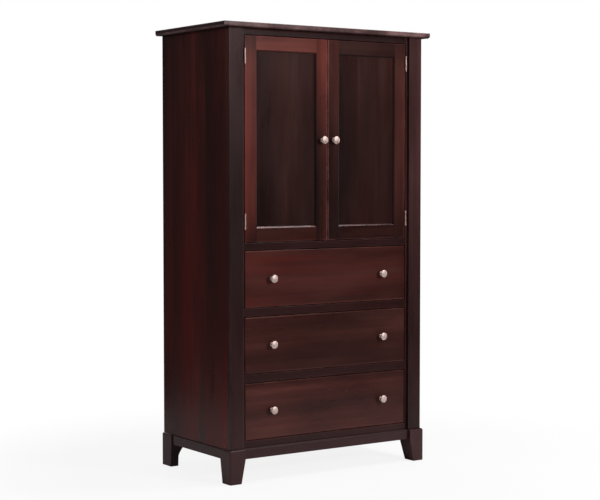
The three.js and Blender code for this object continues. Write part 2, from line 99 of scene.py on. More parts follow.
class Side(StrEnum):
    """Which half of the armoire a piece stands in."""

    LEFT = "left"
    RIGHT = "right"

    @property
    def sign(self) -> float:
        """The sign of x on this side."""
        return -1.0 if self is Side.LEFT else 1.0

    def take(self, surface: "Surface", made_for: "Side") -> "Surface":
        """A surface made for one side, mirrored if this is the other side."""
        return surface if self is made_for else surface.mirrored()


def corners_of(node: str) -> tuple[Array, Array]:
    """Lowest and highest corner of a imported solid, each as an array of three numbers."""
    low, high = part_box(node)
    return np.array(low), np.array(high)


def centre_of(node: str) -> Array:
    """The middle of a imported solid's box."""
    low, high = corners_of(node)
    return (low + high) / 2


@dataclass
class Surface:
    """Points, four-sided faces and many-sided end faces of closed skins.

    Each point has its wear, from 0 to 1, which on the doors and the slab also paints a highlight,
    and may carry a share of painted shade.
    """

    points: Array
    quads: Array
    caps: list[Array]
    wear: Array
    pooled: Array | float = 0.0

    def mirrored(self, axis: int = 0, plane: float = 0.0) -> "Surface":
        """A mirror image, with its faces turned so that they still point out.

        Args:
            axis: The axis across the mirror.
            plane: Where the mirror stands on that axis.

        Returns:
            The mirror image.
        """
        points = self.points.copy()
        points[:, axis] = 2 * plane - points[:, axis]
        caps = [cap[::-1] for cap in self.caps]
        return replace(self, points=points, quads=self.quads[:, ::-1], caps=caps)

    def moved(self, offset: Sequence[float]) -> "Surface":
        """The same surface, offset metres away."""
        return replace(self, points=self.points + offset)

    def face_centres(self) -> Array:
        """The mean of each face's corners, quads first and end faces last."""
        middles = self.points[self.quads].mean(axis=1)
        ends = [self.points[cap].mean(axis=0) for cap in self.caps]
        return np.concatenate([middles, np.array(ends).reshape(-1, 3)])

    def normals(self) -> Array:
        """Normals at the points: the sum of the area vectors of the faces that meet there, unit.

        Large flat faces outweigh the small ones of a rounded edge, so that flats stay flat.

        Returns:
            One normal a point.
        """
        quads = self.points[self.quads]
        area = np.cross(quads[:, 2] - quads[:, 0], quads[:, 3] - quads[:, 1]) / 2
        total = np.zeros_like(self.points)
        np.add.at(total, self.quads.ravel(), np.repeat(area, 4, axis=0))
        for cap in self.caps:
            ring = self.points[cap] - self.points[cap].mean(axis=0)
            total[cap] += np.cross(ring, np.roll(ring, -1, axis=0)).sum(axis=0) / 2
        length = np.linalg.norm(total, axis=1, keepdims=True)
        return total / np.maximum(length, 1e-12)


def join(parts: Sequence[Surface]) -> Surface:
    """Several surfaces as one, each skin closed by itself.

    Args:
        parts: The surfaces.

    Returns:
        A surface that holds them all.
    """
    starts = np.cumsum([0, *[len(part.points) for part in parts]])
    return Surface(
        np.concatenate([part.points for part in parts]),
        np.concatenate([part.quads + start for part, start in zip(parts, starts)]),
        [cap + start for part, start in zip(parts, starts) for cap in part.caps],
        np.concatenate([part.wear for part in parts]),
    )


@dataclass
class Outline:
    """A counterclockwise outline with rounded corners, ready to be drawn in towards its inside."""

    place: Array
    mitre: Array
    normal: Array
    radius: Array
    hollow: Array
    wear: Array

    def inset(self, depth: Array) -> Array:
        """The outline drawn in by each of several depths.

        A corner's arc keeps its centre while its radius shrinks, and then its centre follows the
        mitre; in a hollow corner the radius grows instead.

        Args:
            depth: How far in, one number a ring.

        Returns:
            Points, one ring of pairs for each depth.
        """
        d = depth[:, None]
        reach = np.maximum(self.radius, d)[..., None]
        left = np.maximum(self.radius - d, LEAST_RADIUS * (self.radius > 0))[..., None]
        bump = self.place - reach * self.mitre + left * self.normal
        grown = (self.radius + d)[..., None]
        dip = self.place + self.radius[:, None] * self.mitre - grown * self.normal
        return np.where(self.hollow[:, None], dip, bump)

    def cut_at(self, axis: int, places: Sequence[float]) -> "Outline":
        """The outline with a point more wherever it crosses one of the lines, as at a glued joint.

        Args:
            axis: 0 for lines of equal u and 1 for lines of equal v.
            places: Where the lines lie.

        Returns:
            The outline with those points.
        """
        made = self
        for line in places:
            ring = made.inset(np.zeros(1))[0]
            here, there = ring[:, axis] - line, np.roll(ring[:, axis], -1) - line
            crossing = np.flatnonzero(here * there < 0)
            share = (here / (here - there))[crossing, None]
            ahead = np.roll(ring, -1, axis=0)[crossing]
            point = ring[crossing] * (1 - share) + ahead * share
            step = ahead - ring[crossing]
            step /= np.linalg.norm(step, axis=1, keepdims=True)
            normal = np.c_[step[:, 1], -step[:, 0]]
            zero = np.zeros(len(crossing))
            added = (point, normal, normal, zero, zero.astype(bool), zero)
            made = Outline(*[np.insert(old, crossing + 1, new, axis=0)
                             for old, new in zip(vars(made).values(), added)])
        return made


def rounded(corners: Sequence[Corner], fade: float = WEAR_FADE, steps: int = ARC_STEPS) -> Outline:
    """An outline from its corners.

    Each corner becomes an arc whose normals turn evenly from one edge's to the next one's, with one
    more point on either side where the wear has died out.

    Args:
        corners: Counterclockwise (u, v, radius) of each corner.
        fade: How far from an arc the wear reaches.
        steps: Steps in an arc.

    Returns:
        The outline.
    """
    table = np.asarray(corners, float)
    place, radius = table[:, :2], table[:, 2]
    ahead = np.roll(place, -1, axis=0) - place
    length = np.linalg.norm(ahead, axis=1)
    ahead = ahead / length[:, None]
    behind = np.roll(ahead, 1, axis=0)
    out_next = np.c_[ahead[:, 1], -ahead[:, 0]]
    out_last = np.roll(out_next, 1, axis=0)
    lean = np.sum(out_last * out_next, axis=1)
    mitre = (out_last + out_next) / (1 + lean)[:, None]
    hollow = behind[:, 0] * ahead[:, 1] - behind[:, 1] * ahead[:, 0] < 0
    angle = np.arccos(np.clip(lean, -1, 1))
    share = np.linspace(0, 1, steps + 1)
    first = np.sin((1 - share) * angle[:, None]) / np.sin(angle)[:, None]
    second = np.sin(share * angle[:, None]) / np.sin(angle)[:, None]
    arc_normals = first[..., None] * out_last[:, None] + second[..., None] * out_next[:, None]
    tangent = radius * np.tan(angle / 2)
    free = length - tangent - np.roll(tangent, -1)
    band_next = np.minimum(fade, free * 0.35)
    before = place - behind * (tangent + np.roll(band_next, 1))[:, None]
    after = place + ahead * (tangent + band_next)[:, None]
    count, none = len(place), np.zeros(len(place))

    def stacked(head: Array, middle: Array, tail: Array) -> Array:
        """For each corner: the point before its arc, the arc's own and the one after it."""
        whole = [head[:, None], middle, tail[:, None]]
        return np.concatenate(whole, axis=1).reshape(count * (steps + 3), *head.shape[1:])

    def along_arc(values: Array) -> Array:
        """One value a corner, repeated along its arc."""
        return np.repeat(values[:, None], steps + 1, axis=1)

    return Outline(
        stacked(before, along_arc(place), after),
        stacked(out_last, along_arc(mitre), out_next),
        stacked(out_last, arc_normals, out_next),
        stacked(none, along_arc(radius), none),
        stacked(none.astype(bool), along_arc(hollow), none.astype(bool)),
        stacked(none, along_arc(~hollow * 1.0), none),
    )


def rectangle(u0: float, u1: float, v0: float, v1: float, radius: float | Sequence[float],
              fade: float = WEAR_FADE) -> Outline:
    """A rounded rectangle whose corners start at (u1, v0), with one radius or one for each."""
    radii = [radius] * 4 if isinstance(radius, float) else radius
    return rounded(list(zip((u1, u1, u0, u0), (v0, v1, v1, v0), radii)), fade)


def skin(rings: Array, wear: Array | None = None, strips: bool = False,
         hoop: bool = False) -> Surface:
    """A closed skin over a grid of points, ring by ring, with a face over each end.

    Args:
        rings: Points as (rings, points a ring, 3), counterclockwise seen from the last ring.
        wear: Wear as (rings, points a ring), if there is any.
        strips: Close the ends with strips between mirrored points instead of with one face.
        hoop: Join the last ring to the first instead, as on a bored knuckle.

    Returns:
        The surface.
    """
    count, width = rings.shape[:2]
    index = np.arange(count * width).reshape(count, width)
    ahead, above = np.roll(index, -1, axis=1), np.roll(index, -1, axis=0)
    quads = np.stack([index, ahead, np.roll(above, -1, axis=1), above], axis=-1)
    quads = quads[:count if hoop else -1].reshape(-1, 4)
    caps = [] if hoop else [index[0, ::-1], index[-1]]
    if strips:
        near = np.arange(width // 2 - 1)
        far = width - 1 - near
        across = np.c_[near, near + 1, far - 1, far]
        quads, caps = np.concatenate([quads, index[-1, across], index[0, across[:, ::-1]]]), []
    wear = np.zeros(count * width) if wear is None else wear.ravel()
    return Surface(rings.reshape(-1, 3), quads, caps, wear)


def sweep(outline: Outline, grain: Grain, low: float, high: float, ease: float = 0.001,
          fade: float = WEAR_FADE, reach: Callable[[Array], Array] | None = None,
          strips: bool = False) -> Surface:
    """A board: an outline carried in a straight line, its ends eased through a quarter circle.

    At an end, the outline is drawn in by ease times (1 - sin t) while it stands ease times
    (1 - cos t) from the end face, as t goes from 0 to a right angle.

    Args:
        outline: The cross-section.
        grain: The way the board runs.
        low: Where it starts.
        high: Where it ends.
        ease: Radius of the eased ends.
        fade: How far the wear reaches from an end.
        reach: How much further each end goes at given (u, v) points, as on a coped end.
        strips: Close the ends with strips.

    Returns:
        The surface.
    """
    turn = np.linspace(0, math.pi / 2, ARC_STEPS)
    depth = np.r_[ease + fade * 0.8, ease * (1 - np.sin(turn)), 0]
    along = np.r_[0, ease * (1 - np.cos(turn)), ease + fade]
    worn = np.r_[0, np.ones(ARC_STEPS), 0]
    flat = outline.inset(np.r_[depth, depth[::-1]])
    extra = reach(flat) if reach else np.zeros(flat.shape[:2])
    near = low + along[:, None] - extra[: len(along)]
    far = high - along[::-1, None] + extra[len(along):]
    u, v, s = grain.value
    rings = np.zeros((*flat.shape[:2], 3))
    rings[..., u], rings[..., v] = flat[..., 0], flat[..., 1]
    rings[..., s] = np.r_[near, far]
    wear = np.maximum(np.r_[worn, worn[::-1]][:, None], outline.wear[None])
    wear[[0, -1]] = 0
    return skin(rings, wear, strips)


@dataclass(frozen=True)
class Boards:
    """How a piece is glued up, and how its boards look beside those of other pieces.

    tone lightens (above 0) or darkens (below 0) the piece, rise is how much lighter its far end is
    than its near one, bow is how much lighter its middle is than its ends, or each board's in turn,
    ends is how much darker it grows near its ends, red is how much of the red streaks it shows,
    blush is how much more of them its near end shows, and spread is how far its boards differ.
    across adds tones at its low edge, at each joint and at its high edge, evenly changing between
    them.
    """

    axis: int = 0
    joints: Floats = ()
    tone: float = 0.0
    rise: float = 0.0
    bow: float | Floats = 0.0
    ends: float = 0.05
    red: float = 0.2
    blush: float = 0.0
    spread: float = 0.1
    across: Floats = ()


def evenly(low: float, high: float, count: int) -> Floats:
    """Places of the joints between boards of about equal width, each moved by a share of that."""
    width = (high - low) / count
    return tuple(low + width * (i + 1 + JITTER[i % len(JITTER)]) for i in range(count - 1))


def plank(low: Sequence[float], high: Sequence[float], grain: Grain, ease: float = 0.001,
          boards: Boards = Boards()) -> Surface:
    """A plain board between two corners, eased all round, with a line of points at each joint.

    Args:
        low: Lowest corner.
        high: Highest corner.
        grain: The way the grain runs.
        ease: Radius of its edges.
        boards: How it is glued up.

    Returns:
        The surface.
    """
    u, v, s = grain.value
    fade = min(WEAR_FADE, 0.2 * min(high[u] - low[u], high[v] - low[v]))
    outline = rectangle(low[u], high[u], low[v], high[v], ease, fade)
    glued = bool(boards.joints)
    if glued:
        outline = outline.cut_at((u, v).index(boards.axis), boards.joints)
    return sweep(outline, grain, low[s], high[s], ease, fade, strips=glued and boards.axis == v)


def rings_about(axis: int, sign: float, radius: Array, height: Array,
                segments: int) -> Array:
    """Rings of points about an axis: each radius times (cos, sin) of equal angles, at its height.

    Args:
        axis: The axis.
        sign: 1 if height grows along the axis and -1 if it grows against it.
        radius: Radius of each ring.
        height: Height of each ring.
        segments: Points round the axis.

    Returns:
        Points as (rings, segments, 3).
    """
    angle = np.linspace(0, 2 * math.pi, segments, endpoint=False)
    rings = np.zeros((len(radius), segments, 3))
    rings[..., (axis + 1) % 3] = radius[:, None] * np.cos(angle)
    rings[..., (axis + 2) % 3] = radius[:, None] * np.sin(angle) * sign
    rings[..., axis] = height[:, None] * sign
    return rings


def turned(profile: Array, centre: Sequence[float], axis: int, sign: float,
           segments: int) -> Surface:
    """A piece from a lathe: (radius, height) pairs about an axis, with height 0 at the centre."""
    rings = rings_about(axis, sign, profile[:, 0], profile[:, 1], segments)
    return skin(rings + centre)


def arc(centre: Pair, size: Pair, start: float, end: float, steps: int) -> Array:
    """Points on an ellipse: centre plus size times (cos, sin) of evenly spaced degrees."""
    angle = np.radians(np.linspace(start, end, steps + 1))
    return np.c_[centre[0] + size[0] * np.cos(angle), centre[1] + size[1] * np.sin(angle)]


def by_node(operation: str, turned: bool = False) -> Callable[["Value", object], "Value"]:
    """The method behind one of Python's signs: a Math node on a value and another.

    Args:
        operation: What the node does.
        turned: Whether the other comes first.

    Returns:
        The method.
    """
    def method(value: "Value", other: object) -> "Value":
        """The node's result."""
        return value.graph.math(operation, *((other, value) if turned else (value, other)))

    return method


class Value:
    """An output in a node tree. Python's signs for sums and products add Math nodes after it."""

    __add__, __radd__ = by_node("ADD"), by_node("ADD", True)
    __sub__, __rsub__ = by_node("SUBTRACT"), by_node("SUBTRACT", True)
    __mul__, __truediv__ = by_node("MULTIPLY"), by_node("DIVIDE")

    def __init__(self, graph: "Graph", socket: bpy.types.NodeSocket) -> None:
        """Keeps the output and the tree that it is in."""
        self.graph, self.socket = graph, socket

    def __getitem__(self, output: str | int) -> "Value":
        """Another output of the same node."""
        return Value(self.graph, self.socket.node.outputs[output])


class Graph:
    """A node tree, with short ways to add its nodes and link them."""

    def __init__(self, tree: bpy.types.NodeTree) -> None:
        """Keeps the tree to work on."""
        self.tree = tree

    def feed(self, node: bpy.types.Node, inputs: Mapping[str | int, object]) -> None:
        """Links outputs to a node's inputs, or sets the inputs' own values.

        Args:
            node: The node.
            inputs: What each input takes, by its name or its number.
        """
        for key, value in inputs.items():
            if isinstance(value, Value):
                self.tree.links.new(value.socket, node.inputs[key])
            else:
                node.inputs[key].default_value = value

    def add(self, kind: str, inputs: Mapping[str | int, object] | None = None,
            output: str | int = 0, **settings: object) -> Value:
        """Adds a node.

        Args:
            kind: Blender's name of the node's type without its ShaderNode.
            inputs: What its inputs take.
            output: The output to give back.
            settings: Properties to set on it.

        Returns:
            That output of the node.
        """
        node = self.tree.nodes.new(f"ShaderNode{kind}")
        for name, value in settings.items():
            setattr(node, name, value)
        self.feed(node, inputs or {})
        return Value(self, node.outputs[output])

    def math(self, operation: str, *values: object, clamp: bool = False) -> Value:
        """A Math node's result on numbers or outputs."""
        return self.add("Math", dict(enumerate(values)), operation=operation, use_clamp=clamp)

    def vector(self, operation: str, *values: object) -> Value:
        """A Vector Math node's result on vectors or outputs."""
        output = "Value" if operation == "LENGTH" else "Vector"
        return self.add("VectorMath", dict(enumerate(values)), output, operation=operation)

    def noise(self, place: object, size: Triple, detail: float, rough: float,
              output: str = "Fac") -> Value:
        """Noise with so many features to the metre along each axis."""
        inputs = {"Vector": self.vector("MULTIPLY", place, size), "Scale": 1.0, "Detail": detail}
        return self.add("TexNoise", {**inputs, "Roughness": rough}, output)

    def span(self, value: object, from_low: object, from_high: object, to_low: object,
             to_high: object, smooth: bool = False) -> Value:
        """A value carried from one range to another, and held inside it."""
        inputs = dict(enumerate((value, from_low, from_high, to_low, to_high)))
        return self.add("MapRange", inputs, interpolation_type="SMOOTHSTEP" if smooth else "LINEAR")

    def mix(self, share: object, first: object, second: object, blend: str = "MIX") -> Value:
        """Two colours mixed."""
        inputs = {0: share, 6: first, 7: second}
        return self.add("Mix", inputs, 2, data_type="RGBA", blend_type=blend, clamp_factor=True)

    def attribute(self, name: str, output: str = "Fac") -> Value:
        """What the mesh carries under a name."""
        return self.add("Attribute", output=output, attribute_name=name)

    def bump(self, height: Value, strength: float, distance: float) -> Value:
        """The normal of a face whose fine relief has the given height."""
        inputs = {"Height": height, "Strength": strength, "Distance": distance}
        return self.add("Bump", inputs, "Normal")


class Effect(Enum):
    """The shader groups that the finishes share."""

    FIGURE = "wood_figure"
    RUBBED = "rubbed_edges"
    BRUSHED = "brushed_turning"


class Effects:
    """Builds each shared shader group once and places it in materials.

    sockets names what each effect takes and what it gives: Position is a vector, the rest numbers.
    """

    sockets = {
        Effect.FIGURE: (("Position", "Board", "Ring Spacing", "Figure", "Streak", "Blotch", "Pore"),
                        ("Tone", "Redness", "Height", "Sheen")),
        Effect.RUBBED: (("Position", "Edge", "Amount"), ("Mask",)),
        Effect.BRUSHED: (("Radius", "Position"), ("Height", "Variation")),
    }

    def __init__(self) -> None:
        """Builds the groups."""
        self.trees = {effect: self._build(effect) for effect in Effect}

    def _build(self, effect: Effect) -> bpy.types.NodeTree:
        """A group's tree.

        Args:
            effect: Which effect.

        Returns:
            The tree with its sockets, filled by the effect's own method.
        """
        tree = bpy.data.node_groups.new(effect.value, "ShaderNodeTree")
        for way, names in zip(("INPUT", "OUTPUT"), self.sockets[effect]):
            for name in names:
                kind = "NodeSocketVector" if name == "Position" else "NodeSocketFloat"
                tree.interface.new_socket(name, in_out=way, socket_type=kind)
        graph = Graph(tree)
        given = Value(graph, tree.nodes.new("NodeGroupInput").outputs[0])
        fill = {Effect.FIGURE: self._figure, Effect.RUBBED: self._rubbed,
                Effect.BRUSHED: self._brushed}[effect]
        graph.feed(tree.nodes.new("NodeGroupOutput"), fill(graph, given))
        return tree

    @staticmethod
    def _figure(graph: Graph, given: Value) -> dict[str, Value]:
        """Growth rings about a pith off the board, streaks and fibres drawn along it, and pores.

        A ring's number is the distance from the bent pith, plus a little of the way along the
        board, over the ring spacing, so that a flat-sawn face shows long pointed arches.

        Args:
            graph: The group's tree.
            given: What the group takes.

        Returns:
            What the group gives.
        """
        place, board = given["Position"], given["Board"]
        apart = graph.add("CombineXYZ", {0: board * 13.7, 1: board * 5.1, 2: board * 9.3})
        own = graph.vector("ADD", place, apart)
        bend = graph.noise(own, (1.0, 2.0, 2.0), 1.0, 0.4, "Color")
        bend = graph.vector("MULTIPLY", graph.vector("SUBTRACT", bend, (0.5, 0.5, 0.5)),
                            (0.0, 0.06, 0.06))
        bent = graph.add("SeparateXYZ", {0: graph.vector("ADD", place, bend)})
        out = bent[1] + (graph.math("FRACT", board * 9.7) * 0.06 + 0.045)
        over = bent[2] - graph.math("SINE", board * 47.0) * 0.045
        radius = graph.math("SQRT", out * out + over * over)
        ring = graph.math("FRACT", (radius + bent[0] * 0.022) / given["Ring Spacing"])
        late = (graph.span(ring, 0.2, 0.8, 0.0, 1.0, True)
                * graph.span(ring, 0.82, 1.0, 1.0, 0.0, True))
        streak = graph.noise(own, (1.1, 42.0, 42.0), 5.0, 0.62)
        band = graph.noise(own, (0.5, 14.0, 14.0), 2.0, 0.5)
        fibre = graph.noise(own, (11.0, 620.0, 620.0), 3.0, 0.6)
        blotch = graph.noise(own, (2.4, 8.0, 8.0), 3.0, 0.55)
        redness = graph.noise(own, (0.9, 23.0, 23.0), 3.0, 0.6)
        pore = graph.span(graph.noise(own, (70.0, 2400.0, 2400.0), 1.0, 0.5), 0.6, 0.72, 0.0, 1.0)
        tone = 0.5 + (streak - 0.5) * given["Streak"]
        tone = tone + (band - 0.5) * given["Blotch"] + (blotch - 0.5) * given["Blotch"]
        tone = tone + (fibre - 0.5) * (given["Streak"] * 0.35) - late * given["Figure"]
        return {"Tone": graph.math("SUBTRACT", tone, pore * given["Pore"], clamp=True),
                "Redness": graph.span(redness, *NOISE, 0.0, 1.0),
                "Height": fibre * 0.5 - pore * 0.5, "Sheen": blotch}

    @staticmethod
    def _rubbed(graph: Graph, given: Value) -> dict[str, Value]:
        """Edge wear broken up by noise, which on some finishes also paints a highlight along the
        edge:
        the nearer to the edge, the more of the noise gets through.

        Args:
            graph: The group's tree.
            given: What the group takes.

        Returns:
            What the group gives.
        """
        patch = graph.noise(given["Position"], (9.0, 9.0, 9.0), 4.0, 0.65)
        speck = graph.noise(given["Position"], (160.0, 160.0, 160.0), 2.0, 0.6)
        broken = graph.span(patch * 0.75 + speck * 0.25, 0.38, 0.66, 0.15, 1.0, True)
        return {"Mask": graph.math("MULTIPLY", given["Edge"] * broken, given["Amount"], clamp=True)}

    @staticmethod
    def _brushed(graph: Graph, given: Value) -> dict[str, Value]:
        """Fine rings left by the lathe, as noise of the radius alone, with a slow cloud over them.

        Args:
            graph: The group's tree.
            given: What the group takes.

        Returns:
            What the group gives.
        """
        line = graph.add("CombineXYZ", {0: given["Radius"] * 5200.0})
        rings = graph.add("TexNoise", {"Vector": line, "Scale": 1.0, "Detail": 2.0})
        return {"Height": rings,
                "Variation": graph.noise(given["Position"], (90.0, 90.0, 90.0), 3.0, 0.6)}

    def place(self, graph: Graph, effect: Effect, **values: object) -> Value:
        """Places an effect, with _ for a space in an input's name, and gives its first output."""
        inputs = {name.replace("_", " "): value for name, value in values.items()}
        return graph.add("Group", inputs, node_tree=self.trees[effect])


def screen(red: float, green: float, blue: float) -> tuple[float, float, float, float]:
    """A colour of a screen, from 0 to 255 each, as the linear light that shaders take."""
    share = np.array([red, green, blue]) / 255
    linear = np.where(share <= 0.04045, share / 12.92, ((share + 0.055) / 1.055) ** 2.4)
    return (*linear.tolist(), 1.0)


@dataclass(frozen=True)
class WoodFinish:
    """A stained and lacquered wood. Colours are screen colours from 0 to 255."""

    name: str
    slot: str
    dark: Colour
    middle: Colour
    light: Colour
    red: Colour
    # colour of worn edges, which on the doors and the slab also paints their highlight
    rubbed: Colour
    ring_spacing: float = 0.0085
    figure: float = 0.015
    streak: float = 0.5
    blotch: float = 0.6
    pore: float = 0.08
    # how dark the painted shade grows in the sticking and on bevels
    painted_shading: float = 0.8
    wear: float = 0.3
    roughness: float = 0.3
    specular: float = 0.19
    bump: float = 0.2


@dataclass(frozen=True)
class MetalFinish:
    """A plated metal."""

    name: str
    slot: str
    colour: Colour
    roughness: float
    brush: float = 0.12


STAINED_CASE = WoodFinish(
    "stained_case_wood", "stained_case", (26, 7, 5), (43, 11, 8), (63, 19, 13), (60, 3, 1),
    (74, 38, 30), streak=0.8, blotch=1.3)
STAINED_FRAME = WoodFinish(
    "stained_frame_wood", "stained_case", (27, 12, 12), (41, 20, 19), (60, 31, 29), (66, 24, 24),
    (84, 50, 46))
STAINED_POST = replace(
    STAINED_FRAME, name="stained_post_wood", dark=(27, 13, 13), middle=(42, 22, 22),
    light=(61, 34, 33))
STAINED_BASE = replace(
    STAINED_FRAME, name="stained_base_wood", dark=(35, 19, 20), middle=(50, 29, 30),
    light=(66, 41, 41))
# the slab's pale worn-edge colour is wear and also a painted highlight on its front edge and bevel
STAINED_TOP = replace(
    STAINED_BASE, name="stained_top_wood", rubbed=(130, 100, 98), wear=0.8, specular=0.3,
    roughness=0.26)
# the doors' pink worn-edge colour is wear and also a painted highlight along their eased edges and
# the sill's bevel
STAINED_DOOR = WoodFinish(
    "stained_door_wood", "stained_door", (38, 17, 14), (58, 26, 22), (80, 39, 31), (96, 32, 22),
    (142, 86, 84), streak=0.8, blotch=0.85, wear=0.7, bump=0.08)
STAINED_DRAWER = WoodFinish(
    "stained_drawer_wood", "stained_drawer", (38, 17, 15), (54, 26, 23), (72, 37, 32),
    (84, 24, 16), (110, 62, 52), streak=0.9, blotch=1.0)
STAINED_INSIDE = WoodFinish(
    "stained_inside_wood", "stained_inside", (26, 12, 10), (44, 21, 18), (64, 32, 26),
    (76, 28, 22), (70, 38, 32), wear=0.25, roughness=0.5)
CLEAR_MAPLE = WoodFinish(
    "clear_maple_wood", "clear_maple", (176, 136, 98), (208, 172, 130), (229, 200, 162),
    (214, 166, 128), (232, 208, 172), figure=0.12, streak=0.8, pore=0.1, wear=0.2, roughness=0.45)
SATIN_NICKEL = MetalFinish("satin_nickel_plate", "satin_nickel", (224, 200, 193), 0.56)
HINGE_NICKEL = MetalFinish("satin_nickel_hinges", "satin_nickel", (204, 172, 166), 0.5)
ZINC_STEEL = MetalFinish("bright_zinc_screws", "satin_nickel", (188, 188, 184), 0.34, 0.05)


class Finishes:
    """Makes each material the first time a piece asks for it.

    end_facing is how squarely a face looks along the grain as end grain starts to show, and both
    sheens are how much less or more rough than its finish a surface is in places.
    """

    ramp_stops = (0.12, 0.5, 0.9)
    wood_relief = 0.0003
    fine_relief = 0.0001
    end_darkening_reach = 0.12
    end_facing = (0.6, 0.85)
    end_shade = 0.7
    # painted shade: its colour as a share of the finish's dark colour, and how much rougher it is
    painted_shade_tone = 0.5
    painted_shade_dull = 0.4
    sheen = (-0.05, 0.07)
    lathe_sheen = (-0.05, 0.08)

    def __init__(self) -> None:
        """Builds the shared effects."""
        self.effects = Effects()
        self.made: dict[str, bpy.types.Material] = {}

    def _once(self, name: str, dress: Callable[[Graph], dict[str, object]]) -> bpy.types.Material:
        """The material of a name, made only if it isn't there yet.

        Args:
            name: The material's name.
            dress: Fills its tree, and gives what the inputs of its shader take.

        Returns:
            The material.
        """
        if name not in self.made:
            material = self.made[name] = bpy.data.materials.new(name)
            material.use_nodes = True
            graph = Graph(material.node_tree)
            graph.feed(material.node_tree.nodes["Principled BSDF"], dress(graph))
        return self.made[name]

    def wood(self, finish: WoodFinish, grain: Grain) -> bpy.types.Material:
        """The material of boards whose grain runs one way."""
        name = f"{finish.name}_{grain.name.lower()}"
        return self._once(name, lambda graph: self._wood(graph, finish, grain))

    def _wood(self, graph: Graph, finish: WoodFinish, grain: Grain) -> dict[str, object]:
        """Figured wood, stained, with worn edges that on some finishes also paint a highlight,
        painted shade where the mesh carries it, and the lacquer's sheen.

        Args:
            graph: The material's tree.
            finish: The wood.
            grain: The way the grain runs.

        Returns:
            What the inputs of its shader take.
        """
        coordinates = graph.add("TexCoord")
        centre = graph.attribute("board_centre", "Vector")
        own = graph.vector("SUBTRACT", coordinates["Object"], centre)
        figure = self.effects.place(
            graph, Effect.FIGURE, Board=graph.attribute("board"), Ring_Spacing=finish.ring_spacing,
            Position=graph.add("Mapping", {"Vector": own, "Rotation": grain.turn}),
            Figure=finish.figure, Streak=finish.streak, Blotch=finish.blotch, Pore=finish.pore)
        ramp = graph.add("ValToRGB", {0: figure["Tone"]})
        low, middle, high = self.ramp_stops
        stops = ramp.socket.node.color_ramp.elements
        stops[0].position, stops[0].color = low, screen(*finish.dark)
        stops[1].position, stops[1].color = high, screen(*finish.light)
        stops.new(middle).color = screen(*finish.middle)
        along, pooled = graph.attribute("along"), graph.attribute("pooled")
        back = 1.0 - along
        red = graph.math("MULTIPLY_ADD", graph.attribute("blush"), back, graph.attribute("red"))
        red = graph.math("MULTIPLY", figure["Redness"], red, clamp=True)
        colour = graph.mix(red, ramp, screen(*finish.red))
        shade = graph.attribute("tone") + (graph.attribute("drift") + 1.0)
        shade = graph.math("MULTIPLY_ADD", graph.attribute("rise"), along, shade)
        shade = graph.math("MULTIPLY_ADD", graph.attribute("bow"), along * back * 4.0, shade)
        to_end = graph.math("MINIMUM", along, back) * graph.attribute("run")
        shade = shade * graph.span(to_end, 0.0, self.end_darkening_reach,
                                   1.0 - graph.attribute("ends"), 1.0, True)
        shade = graph.add("CombineColor", {0: shade, 1: shade, 2: shade})
        colour = graph.mix(1.0, colour, shade, "MULTIPLY")
        facing = {"Vector": coordinates["Normal"], "Rotation": grain.turn}
        facing = graph.add("SeparateXYZ", {0: graph.add("Mapping", facing, vector_type="NORMAL")})
        sawn = graph.math("ABSOLUTE", facing)
        sawn = graph.span(sawn, *self.end_facing, 0.0, self.end_shade, True)
        colour = graph.mix(sawn, colour, screen(*finish.dark))
        # painted shade, darkest in the doors' sticking and on the front apron's bevel
        shade_colour = screen(*[c * self.painted_shade_tone for c in finish.dark])
        colour = graph.mix(pooled * finish.painted_shading, colour, shade_colour)
        # worn edges, which on the doors and the slab also paint a highlight
        rubbed = self.effects.place(graph, Effect.RUBBED, Position=coordinates["Object"],
                                    Edge=graph.attribute("wear"), Amount=finish.wear)
        rough = graph.span(figure["Sheen"], *NOISE, *[finish.roughness + by for by in self.sheen])
        return {"Base Color": graph.mix(rubbed, colour, screen(*finish.rubbed)),
                "Roughness": graph.math("MULTIPLY_ADD", pooled, self.painted_shade_dull, rough, clamp=True),
                "Specular IOR Level": finish.specular,
                "Normal": graph.bump(figure["Height"], finish.bump, self.wood_relief)}

    def metal(self, finish: MetalFinish) -> bpy.types.Material:
        """The material of a plated piece, with the lathe's rings where its mesh carries a radius.

        Args:
            finish: The plating.

        Returns:
            The material.
        """
        def dress(graph: Graph) -> dict[str, object]:
            """The rings and the cloud over them, as the shader takes them."""
            brushed = self.effects.place(graph, Effect.BRUSHED, Radius=graph.attribute("radius"),
                                         Position=graph.add("TexCoord")["Object"])
            cloud = graph.span(brushed["Variation"], *NOISE, 0.0, 1.0)
            dull = screen(*[c * 0.9 for c in finish.colour])
            rough = [finish.roughness + by for by in self.lathe_sheen]
            return {"Base Color": graph.mix(cloud, dull, screen(*finish.colour)),
                    "Roughness": graph.span(brushed["Height"], *NOISE, *rough),
                    "Metallic": 1.0,
                    "Normal": graph.bump(brushed["Height"], finish.brush, self.fine_relief)}

        return self._once(finish.name, dress)

    def plastic(self) -> bpy.types.Material:
        """Brown moulded plastic with a fine spark-eroded grain.

        Returns:
            The material.
        """
        def dress(graph: Graph) -> dict[str, object]:
            """The grain, as the shader takes it."""
            place = graph.add("TexCoord")["Object"]
            eroded = graph.noise(place, (1500.0, 1500.0, 1500.0), 2.0, 0.5)
            return {"Base Color": graph.mix(eroded, screen(38, 24, 18), screen(52, 34, 26)),
                    "Roughness": 0.45, "Normal": graph.bump(eroded, 0.2, self.fine_relief)}

        return self._once("brown_moulded_plastic", dress)


